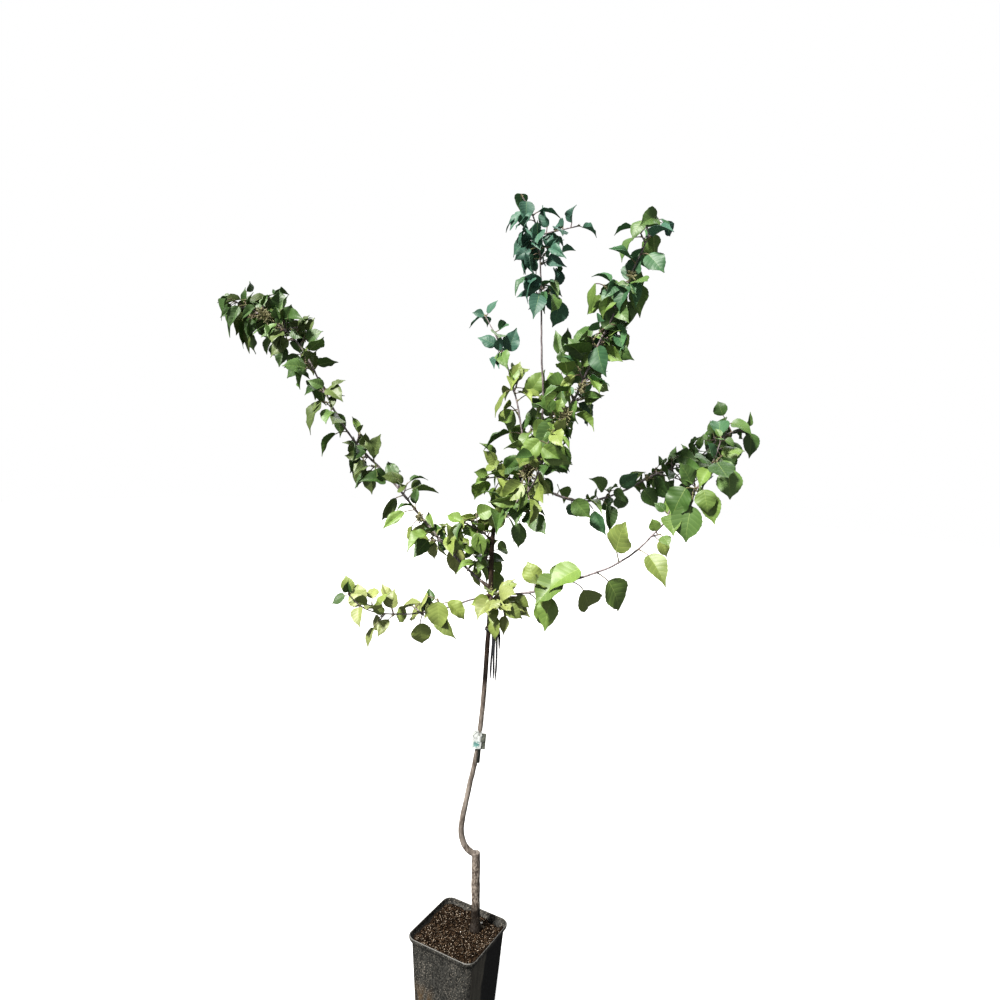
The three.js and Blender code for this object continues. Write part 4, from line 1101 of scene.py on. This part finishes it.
def modify(piece, kind, **settings):
    """Keeps the piece's mesh as a modifier leaves it."""
    modifier = piece.modifiers.new(kind, kind)
    for name, value in settings.items():
        setattr(modifier, name, value)
    graph = bpy.context.evaluated_depsgraph_get()
    graph.update()
    made = bpy.data.meshes.new_from_object(piece.evaluated_get(graph))
    piece.modifiers.clear()
    old = piece.data
    piece.data = made
    bpy.data.meshes.remove(old)


# The soil
def soil_height(x, y):
    from_trunk = np.hypot(x - ROOTSTOCK["foot"][0], y - ROOTSTOCK["foot"][1])
    from_hollow = np.hypot(x - SOIL["hollow_at"][0], y - SOIL["hollow_at"][1])
    uneven = np.sin(x * 0.11 + 1.3) * np.cos(y * 0.13 - 0.4) + 0.5 * np.sin((x - y) * 0.21)
    settled = smoothstep(from_trunk, SOIL["flat_radius"], 1.8 * SOIL["flat_radius"])
    sunk = 1 - smoothstep(from_hollow, 0.3 * SOIL["hollow_radius"], SOIL["hollow_radius"])
    return SOIL["top"] + settled * SOIL["heave"] * uneven - settled * sunk * SOIL["hollow"]


def soil_outline(z):
    return rounded_square(wall_half(z) - POT["wall"] - 0.5, POT["corner"] - POT["wall"], 12, 14)


def soil_bed():
    """The soil as one closed body: a crumbly top, sides along the pot's wall and a flat underside."""
    outline = soil_outline(SOIL["top"])
    rings = []
    for k in range(1, SOIL_RINGS + 1):
        flat = turned(outline * (k / SOIL_RINGS) ** 0.8)
        height = soil_height(flat[:, 0], flat[:, 1])
        place = np.column_stack([flat, height])
        crumbs = 1.5 * lattice_noise(place, 5, 3) + 1.1 * lattice_noise(place, 2.4, 4)
        rings.append(np.column_stack([flat, height + crumbs]))
    for z in np.linspace(SOIL["top"] - 12, POT["floor"] + 1, 6):
        side = turned(soil_outline(z))
        rings.append(np.column_stack([side, np.full(len(side), z)]))
    count = len(outline)
    total = len(rings) * count
    faces = [tuple(reversed(face)) for face in grid_faces(len(rings), count, around=True)]
    faces += fan(total, range(count))
    faces.append(tuple(reversed(range(total - count, total))))
    pile = Pile()
    pile.add(np.concatenate([*rings, [[0, 0, soil_height(0, 0)]]]), faces)
    bed = pile.piece("soil_bed", [soil_finish("peat", "#0c0703", "#2f2115")], "soil", sharp=180)
    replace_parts(bed, "soil")


def crumb_shape():
    """A little lump: the twelve corners and twenty faces of an icosahedron."""
    gold = (1 + math.sqrt(5)) / 2
    signs = list(itertools.product((-1, 1), (-1, 1)))
    corners = [(0, s, t * gold) for s, t in signs] + [(s, t * gold, 0) for s, t in signs]
    corners = np.array(corners + [(t * gold, 0, s) for s, t in signs], float)
    faces = []
    for a, b, c in itertools.combinations(range(12), 3):
        sides = corners[[b, c, a]] - corners[[a, b, c]]
        if np.linalg.norm(sides, axis=1).max() < 2.1:
            outward = np.dot(np.cross(sides[0], sides[1]), corners[a]) > 0
            faces.append((a, b, c) if outward else (a, c, b))
    return corners / math.sqrt(1 + gold * gold), faces


def tipped_and_turned(points, tilt, turn):
    """Points tipped about +Y and then turned round +Z."""
    tip = np.array([[math.cos(tilt), 0, -math.sin(tilt)], [0, 1, 0], [math.sin(tilt), 0, math.cos(tilt)]])
    spin = np.array([[math.cos(turn), -math.sin(turn), 0], [math.sin(turn), math.cos(turn), 0], [0, 0, 1]])
    return points @ tip.T @ spin.T


def add_crumbs():
    corners, faces = crumb_shape()
    half = wall_half(SOIL["top"]) - POT["wall"] - 3
    for seed, (name, (count, sizes, flat, long, dark, light)) in enumerate(CRUMBS.items()):
        chance = np.random.default_rng(40 + seed)
        pile = Pile()
        for _ in range(count):
            spot = chance.uniform(-half, half, 2)
            size = mix(*sizes, chance.random() ** 2)
            rough = corners * (1 + chance.uniform(-0.25, 0.25, (12, 1)))
            stretched = rough * np.array([chance.uniform(1, long), 1, flat]) * size
            turn = chance.uniform(0, 2 * math.pi)
            tilt = chance.normal(0, 0.35)
            x, y = turned(spot)
            over_corner = np.abs(spot).sum() > 2 * half - 12
            on_trunk = math.hypot(x - ROOTSTOCK["foot"][0], y - ROOTSTOCK["foot"][1]) < ROOTSTOCK["flare"]
            if over_corner or on_trunk:
                continue
            middle = np.array([x, y, soil_height(x, y) + size * chance.uniform(0.1, 1.3)])
            pile.add(tipped_and_turned(stretched, tilt, turn) + middle, faces)
        if name == CHIP["among"]:
            x, y = CHIP["at"]
            pile.add(corners * CHIP["radii"] + np.array([x, y, soil_height(x, y) + CHIP["radii"][2]]), faces)
        pile.piece(name, [soil_finish(name, dark, light)], "soil", sharp=20)


# Trunk and boughs
def add_lump(pile, centre, radius, seed):
    """A closed uneven ball that swells the trunk where limbs leave it."""
    rows, columns = 9, 12
    rings = []
    for i in range(1, rows):
        tilt = math.pi * i / rows
        turns = [2 * math.pi * j / columns for j in range(columns)]
        out, up = math.sin(tilt), -math.cos(tilt)
        rings.append([(out * math.cos(turn), out * math.sin(turn), up) for turn in turns])
    points, faces = closed_rings(np.array(rings), [(0, 0, -1), (0, 0, 1)])
    swell = 1 + 0.25 * lattice_noise(points, 0.8, seed)
    pile.add(centre + points * swell[:, None] * radius, faces)


def trunk_piece(limbs):
    """Rootstock, neck, stem and the swollen starts of the boughs, melted into one mesh with rough bark."""
    pile = Pile()
    foot = np.array([*ROOTSTOCK["foot"], SOIL["top"] + 0.3])
    head = np.array([*ROOTSTOCK["head"], ROOTSTOCK["top"]])
    levels = np.linspace(0, 1, 30)
    path = mix(foot, head, levels[:, None])
    rise = (path[:, 2] - foot[2]) / ROOTSTOCK["flare_height"]
    flared = mix(ROOTSTOCK["flare"], ROOTSTOCK["radius"], smoothstep(rise, 0, 1))
    above = np.interp(levels, (0, 1), (ROOTSTOCK["radius"] + 0.2, ROOTSTOCK["head_radius"]))
    pile.add(*tube(path, np.where(rise < 1, flared, above), 20, round_ends=False))
    trunk = limbs["trunk"]
    stem = trunk.stretch(0, trunk.length, 6)
    pile.add(*tube(stem, [trunk.radius(s) for s in np.linspace(0, trunk.length, len(stem))], 16))
    for seed, knot in enumerate((FORK, KNUCKLE)):
        add_lump(pile, limbs["stem"].at(knot["at"])[0], knot["radius"], seed)
    for name, limb in limbs.items():
        if name not in TRUNK_PARTS:
            collar = limb.stretch(0, 22, 4)
            thick = limb.radius(0)
            pile.add(*tube(collar, np.linspace(thick * 1.9, thick * 1.02, len(collar)), 12))
    piece = pile.piece("trunk_bark", [bark_finish()], "bark", sharp=180)
    modify(piece, "REMESH", mode="VOXEL", voxel_size=1.0 * MM, use_smooth_shade=True)
    modify(piece, "SMOOTH", factor=0.5, iterations=4)
    relieve_bark(piece.data)
    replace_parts(piece, "trunk")


def relieve_bark(mesh):
    """Moves the trunk's surface in and out: furrows and flakes on the rootstock, faint ridges further up."""
    points = np.zeros(len(mesh.vertices) * 3)
    normals = np.zeros(len(mesh.vertices) * 3)
    mesh.vertices.foreach_get("co", points)
    mesh.vertices.foreach_get("normal", normals)
    points = points.reshape(-1, 3) / MM
    old = 1 - smoothstep(points[:, 2], *OLD_BARK_ENDS)
    drawn = points * np.array([1, 1, 0.35])
    furrows = lattice_noise(drawn, 5, 11) + 0.6 * lattice_noise(drawn, 2.6, 12)
    flakes = lattice_noise(points * np.array([1, 1, 0.6]), 9, 13)
    ridges = lattice_noise(drawn, 4, 14)
    depth = old * (0.55 * furrows + 0.6 * flakes) + (1 - old) * (0.22 * ridges + 0.18 * furrows)
    depth *= smoothstep(points[:, 2], SOIL["top"], SOIL["top"] + 6)
    points += normals.reshape(-1, 3) * depth[:, None]
    mesh.vertices.foreach_set("co", (points * MM).ravel())
    mesh.update()


def bough_pieces(crown):
    """Every limb from its parent to its tip, in young bark, swollen a little at each leaf's node."""
    pile = Pile()
    for name, limb in crown.limbs.items():
        if name in TRUNK_PARTS:
            continue
        points = limb.stretch(4, limb.length, 4)
        marks = np.linspace(4, limb.length, len(points))
        radii = np.array([limb.radius(s) for s in marks])
        for node in crown.nodes[name]:
            radii *= 1 + 0.22 * np.exp(-((marks - node) / 4.5) ** 2)
        wobble = np.stack([lattice_noise(points, 14, k) for k in range(3)], axis=1) * 0.5
        pile.add(*tube(points + wobble, radii, 10))
    piece = pile.piece("boughs", [twig_finish()], "bark")
    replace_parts(piece, *(f"{name}_bough" for name, *_, radii in LIMBS if radii))


def spur_piece(crown):
    pile = Pile()
    chance = np.random.default_rng(7)
    rings = 9
    radii = np.linspace(1.5, 1.0, rings) * (1 + 0.2 * (np.arange(rings) % 2))
    for spur in crown.spurs:
        bend = (spur["start"] + spur["end"]) / 2 + chance.normal(0, 0.8, 3)
        pile.add(*tube(curve(spur["start"], bend, spur["end"], rings), radii, 8))
    pile.piece("spurs", [twig_finish()], "bark")


def petiole_piece(crown):
    pile = Pile()
    for _, leaf in crown.leaves:
        span = np.linalg.norm(leaf["base"] - leaf["node"])
        middle = leaf["node"] + leaf["reach"] * span * 0.62
        points = curve(leaf["node"], middle, leaf["base"] + leaf["along"] * 1.2, 8)
        thick = 0.75 + 0.45 * leaf["length"] / 80
        pile.add(*tube(points, thick * np.array([1.5, 1.15, 1.0, 0.95, 0.92, 0.92, 1.0, 0.75]), 6))
    skin = mottled_finish("leaf_stalk", ("#8c6a4a", 0.5, 0.4), (14, 2), (0.35, 0.65), ("#6b5152", "#77774f"),
                          (0.1, 0.3), (1.2, 2))
    pile.piece("petioles", [skin], "bark")


def add_bud(pile, centre, lean, size):
    """A small pointed oval bud."""
    points = centre + np.outer(np.linspace(-1.2, 2.2, 6), lean) * size
    pile.add(*tube(points, size * np.array([0.55, 1.0, 1.05, 0.8, 0.42, 0.12]), 6))


def bud_piece(crown):
    """A bud in the angle of each leaf's stalk, four round each spur's end, and crowded buds on the knobs."""
    pile = Pile()
    chance = np.random.default_rng(11)
    for _, leaf in crown.leaves:
        centre = leaf["node"] + leaf["reach"] * 1.6 + UP * 1.4
        add_bud(pile, centre, unit(leaf["reach"] * 0.6 + UP), chance.uniform(0.9, 1.4))
    for spur in crown.spurs:
        for _ in range(4):
            lean = unit(spur["heading"] + chance.normal(0, 0.7, 3))
            centre = spur["end"] + lean * 1.5 - spur["heading"] * chance.uniform(0, 6)
            add_bud(pile, centre, lean, chance.uniform(1, 1.6))
    for name, at, count, reach, forward in KNOBS:
        root, tangent = crown.limbs[name].at(at)
        middle = root + FORWARD * forward
        if forward:
            stalk = curve(root, mix(root, middle, 0.5) + UP * 2, middle, 6)
            pile.add(*tube(stalk, [2, 1.8, 1.8, 2, 2.4, 2.6], 8))
        for _ in range(count):
            lean = unit(chance.normal(0, 1, 3) + UP * 0.3)
            start = middle + tangent * chance.uniform(-0.6, 0.6) * reach
            end = start + lean * chance.uniform(0.3, 0.9) * reach
            pile.add(*tube(np.linspace(start, end, 3), [1.1, 0.9, 0.8], 6))
            add_bud(pile, end, lean, chance.uniform(1.2, 2.3))
    skin = mottled_finish("bud_scales", ("#6a4a2a", 0.6, 0.35), (1.8, 3), (0.3, 0.7), ("#2f2c17", "#aba77c"),
                          (0.4, 0.7))
    pile.piece("buds", [skin], "bark")


# Leaves
def leaf_pieces(crown):
    """Every leaf in the tint that falls to it, with one piece for each tint."""
    piles = {tint: Pile() for tint in LEAF_TINTS}
    chances = {mass["name"]: np.random.default_rng(place) for place, mass in enumerate(crown.masses)}
    for mass, leaf in crown.leaves:
        chance = chances[mass["name"]]
        limb = mass["limb"]
        shares = SHARES_FOR.get(mass["name"], SHARES_FOR.get(limb, TINT_SHARES[mass["tint"]]))
        tint = str(chance.choice(list(shares), p=list(shares.values())))
        facing = LEAF_FACING.get(limb, 0)
        shape = {
            "rows": BLADE_ROWS if leaf["length"] > SMALL_BLADE else SMALL_BLADE_ROWS,
            "fold": math.radians(chance.uniform(8, 56)) * (1 - 0.5 * facing),
            "sag": chance.uniform(-0.14, 0.22),
            "cup": chance.uniform(-0.3, 0.35),
            "wave": chance.uniform(0.015, 0.055),
            "waves": chance.uniform(1.5, 2.6),
            "phase": chance.random(),
            "hook": chance.uniform(-0.05, 0.24),
            "turn": chance.normal(0, 0.55) * (1 - 0.6 * facing),
            "broad": chance.uniform(0.95, 1.2),
        }
        middle = LEAF_MIDDLE.get(limb, LEAF_MIDDLE_ELSEWHERE)
        evening = LEAF_EVENING.get(limb, LEAF_EVENING_ELSEWHERE)
        evened = {**leaf, "length": mix(leaf["length"], middle, evening)}
        add_blade(piles[tint], rolled(evened, chance.normal(0, 0.35) * (1 - 0.8 * facing)), shape)
    made = {}
    for tint, (colour, slot, shine, below) in LEAF_TINTS.items():
        base = np.array(linear(colour)[:3])
        under = base * below + np.array([0.012, 0.02, 0.003])
        materials = [
            leaf_finish(f"leaf_{tint}", colour, shine),
            leaf_finish(f"leaf_{tint}_under", hex_of(under), 0.3, underside=True),
            rib_finish(f"leaf_{tint}_rib", hex_of(base * 1.25 + np.array([0.07, 0.08, 0.03]))),
        ]
        made[tint] = piles[tint].piece(f"leaves_{tint}", materials, slot)
    for mass in crown.masses:
        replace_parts(made[mass["tint"]], mass["name"])


# The tie and the tag
def band_place(limbs, at):
    """The stem's middle at a place, the way it runs, and how far a band there stands off it inside."""
    centre, tangent = limbs["stem"].at(at)
    return centre, tangent, limbs["trunk"].radius(limbs["neck"].length + at) + 0.6


def outward_at(turn):
    """The level way out at each angle."""
    return np.stack([np.cos(turn), np.sin(turn), 0 * turn], axis=1)


def rounded_path(corners, pace=0.8, soften=9):
    """Evenly spaced points along a chain of corners, with the corners rounded off."""
    corners = np.asarray(corners, float)
    marks = marks_along(corners)
    even = np.linspace(0, marks[-1], int(marks[-1] / pace) + 2)
    points = np.stack([np.interp(even, marks, corners[:, k]) for k in range(3)], axis=1)
    padded = np.pad(points, ((soften // 2, soften // 2), (0, 0)), mode="edge")
    window = np.ones(soften) / soften
    return np.stack([np.convolve(padded[:, k], window, mode="valid") for k in range(3)], axis=1)


def add_beaded_strip(pile, points, widths, thickness, facing):
    """A flat plastic strip with a row of round studs along it."""
    pulse = 0.5 + 0.5 * np.cos(2 * math.pi * marks_along(points) / TIE["bead"])
    tangents = units(np.gradient(points, axis=0))
    facing = np.broadcast_to(facing, points.shape)
    facing = units(facing - tangents * np.sum(tangents * facing, axis=1)[:, None])
    half = np.broadcast_to(widths, (len(points),)) / 2 * (0.86 + 0.14 * pulse)
    deep = thickness / 2 * (0.7 + 0.6 * pulse)
    sides = 10
    right, over = circles(sides)
    across = np.cross(tangents, facing)
    rings = points[:, None] + across[:, None] * right * half[:, None, None]
    rings = rings + facing[:, None] * over * deep[:, None, None]
    count = len(points) * sides
    faces = grid_faces(len(points), sides, around=True)
    faces += [tuple(reversed(range(sides))), tuple(range(count - sides, count))]
    pile.add(rings.reshape(-1, 3), faces)


def tie_piece(limbs):
    centre, _, inner = band_place(limbs, TIE["at"])
    pile = Pile()
    turn = np.linspace(0, 2 * math.pi, 60)
    outward = outward_at(turn)
    loop = centre + outward * (inner + TIE["thickness"] / 2) + UP * np.sin(turn)[:, None] * 1.2
    add_beaded_strip(pile, loop, TIE["strap_width"], TIE["thickness"] * 0.75, outward)
    strap = rounded_path([centre + SIDE * right + UP * up for right, up in TIE["strap"]])
    widths = np.interp(np.linspace(0, 1, len(strap)), (0, 0.15, 0.6, 1), (5, TIE["strap_width"], 5.4, 2.4))
    add_beaded_strip(pile, strap, widths, TIE["strip"], FORWARD)
    for k, (right, length) in enumerate(TIE["ends"]):
        t = np.linspace(0, 1, int(length / 0.8))[:, None]
        path = centre + SIDE * (right + 0.7 * np.sin(6 * t + 2 * k)) + UP * (TIE["end_top"] - length * t)
        path = path + FORWARD * (0.6 * np.sin(4.5 * t + k) + 0.3 * k)
        widths = TIE["end_width"] * (1 - 0.45 * smoothstep(t[:, 0], 0.8, 1))
        add_beaded_strip(pile, path, widths, TIE["strip"], FORWARD)
    piece = pile.piece("tie_strap", [plain_finish("tie_plastic", "#17181b", "#36383e", 0.5)], "tie")
    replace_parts(piece, "tie")


def add_card(pile, middle, across, outward, size, slot):
    """A thin crumpled card with rounded ends."""
    width, height = size
    upward = np.cross(outward, across)
    u = np.linspace(-0.5, 0.5, CARD_COLUMNS)
    v = np.linspace(-0.5, 0.5, CARD_ROWS)[:, None]
    inset = np.maximum(np.abs(v) - 0.42, 0) ** 2 * 12
    x = u * width * (1 - inset)
    z = np.broadcast_to(v * height, x.shape)
    place = np.stack([x + middle[0], z, 0 * x], axis=-1).reshape(-1, 3)
    crumple = 0.9 * lattice_noise(place, 7, 21) + 0.4 * lattice_noise(place, 3.5, 22)
    y = crumple.reshape(x.shape) - 0.05 * width * (2 * u) ** 2
    sheet = middle + x[..., None] * across + z[..., None] * upward + y[..., None] * outward
    body, faces = closed_sheet(sheet + outward * 0.3, sheet - outward * 0.3)
    spots = np.stack(np.broadcast_arrays(u + 0.5, v + 0.5), axis=-1).reshape(-1, 2)
    pile.add(body, faces, slot, np.concatenate([spots, spots]))


def tag_piece(limbs):
    centre, tangent, inner = band_place(limbs, TAG["at"])
    reach = inner + TAG["thickness"]
    pile = Pile()
    sides = 40
    outward = outward_at(np.linspace(0, 2 * math.pi, sides + 1)[:-1])
    levels = ((-0.5, inner), (-0.5, reach), (0.5, reach), (0.5, inner))
    rings = [centre + tangent * level * TAG["band"] + outward * radius for level, radius in levels]
    last = 3 * sides
    faces = grid_faces(4, sides, around=True)
    faces += [(last + j, last + (j + 1) % sides, (j + 1) % sides, j) for j in range(sides)]
    pile.add(np.concatenate(rings), faces)
    facing = unit(np.array(TAG["facing"]))
    across = unit(np.cross(-facing, np.array([TAG["lean"], 0, 1])))
    for right, behind, low, high, width, slot in CARDS:
        half = (low + high) / 2
        middle = centre + np.array([right + half * TAG["lean"], behind - reach, half])
        add_card(pile, middle, across, facing, (width, high - low), slot)
    materials = [
        tag_face_finish(),
        # The label's back is painted grey-green as painted shade
        plain_finish("tag_back_painted_shade", "#4a4f47", "#6e7269", 0.5),
        plain_finish("tag_fold", "#0b0f0d", "#1d221f", 0.6),
    ]
    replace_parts(pile.piece("tag_card", materials, "tag"), "tag")


# The view, the light and the floor
def add_to_scene(name, data):
    made = bpy.data.objects.new(name, data)
    bpy.context.scene.collection.objects.link(made)
    return made


def add_camera():
    data = bpy.data.cameras.new("camera")
    data.lens = CAMERA["lens"]
    data.sensor_width = CAMERA["sensor"]
    data.clip_start = 0.05
    data.clip_end = 60
    down, roll = math.radians(CAMERA["down"]), math.radians(CAMERA["roll"])
    forward = np.array([0, math.cos(down), -math.sin(down)])
    level_up = np.array([0, math.sin(down), math.cos(down)])
    right = SIDE * math.cos(roll) + level_up * math.sin(roll)
    upward = level_up * math.cos(roll) - SIDE * math.sin(roll)
    turn = Matrix((right, upward, -forward)).transposed().to_4x4()
    camera = add_to_scene("camera", data)
    camera.matrix_world = Matrix.Translation(np.array(CAMERA["at"]) * MM) @ turn
    bpy.context.scene.camera = camera


def add_lights():
    """A white sky that lights softly and shines less, and two suns."""
    world = bpy.data.worlds.new("sky")
    world.use_nodes = True
    sky = Nodes(world.node_tree)
    white = (1, 1, 1, 1)
    soft = sky.tree.nodes["Background"]
    seen = sky.node("ShaderNodeBackground", white)
    ray = sky.node("ShaderNodeLightPath").outputs
    around = LIGHTS["around"]
    strength = sky.maths("MULTIPLY_ADD", ray["Is Glossy Ray"], LIGHTS["shine"] - around, around)
    sky.feed(soft.inputs["Color"], white)
    sky.feed(soft.inputs["Strength"], strength)
    choice = sky.node("ShaderNodeMixShader", ray["Is Camera Ray"], soft.outputs[0], seen.outputs[0])
    sky.feed(sky.tree.nodes["World Output"].inputs["Surface"], choice.outputs[0])
    bpy.context.scene.world = world
    for name in ("key", "fill"):
        light = LIGHTS[name]
        data = bpy.data.lights.new(name, "SUN")
        data.energy = light["power"]
        data.angle = math.radians(light["width"])
        data.color = light["colour"]
        add_to_scene(name, data).rotation_euler = [math.radians(turn) for turn in light["turn"]]


def add_floor():
    """A light disc under the pot that glows a little."""
    radius = FLOOR["radius"]
    angles = np.linspace(0, 2 * math.pi, 97)[:-1]
    points = [(math.cos(angle) * radius, math.sin(angle) * radius, FLOOR["at"]) for angle in angles]
    mesh = bpy.data.meshes.new("floor")
    mesh.from_pydata((np.array(points) * MM).tolist(), [], [tuple(range(len(points)))])
    finish = Finish("floor_paper", "#bdbdbc", 0.9, 0.2)
    finish.feed(finish.inputs["Emission Color"], (1, 1, 1, 1))
    finish.feed(finish.inputs["Emission Strength"], FLOOR["glow"])
    finish.paint(finish.blend(finish.noise(400), "#bcbcbb", "#c0c0bf"))
    mesh.materials.append(finish.material)
    floor = add_to_scene("floor", mesh)
    floor.visible_diffuse = False
    floor.visible_glossy = False


def main():
    bpy.context.scene.view_settings.view_transform = "Standard"
    add_camera()
    add_lights()
    add_floor()
    limbs = make_limbs()
    crown = Crown(limbs)
    pot_piece()
    soil_bed()
    add_crumbs()
    trunk_piece(limbs)
    for add_piece in (bough_pieces, spur_piece, petiole_piece, bud_piece, leaf_pieces):
        add_piece(crown)
    tie_piece(limbs)
    tag_piece(limbs)


main()
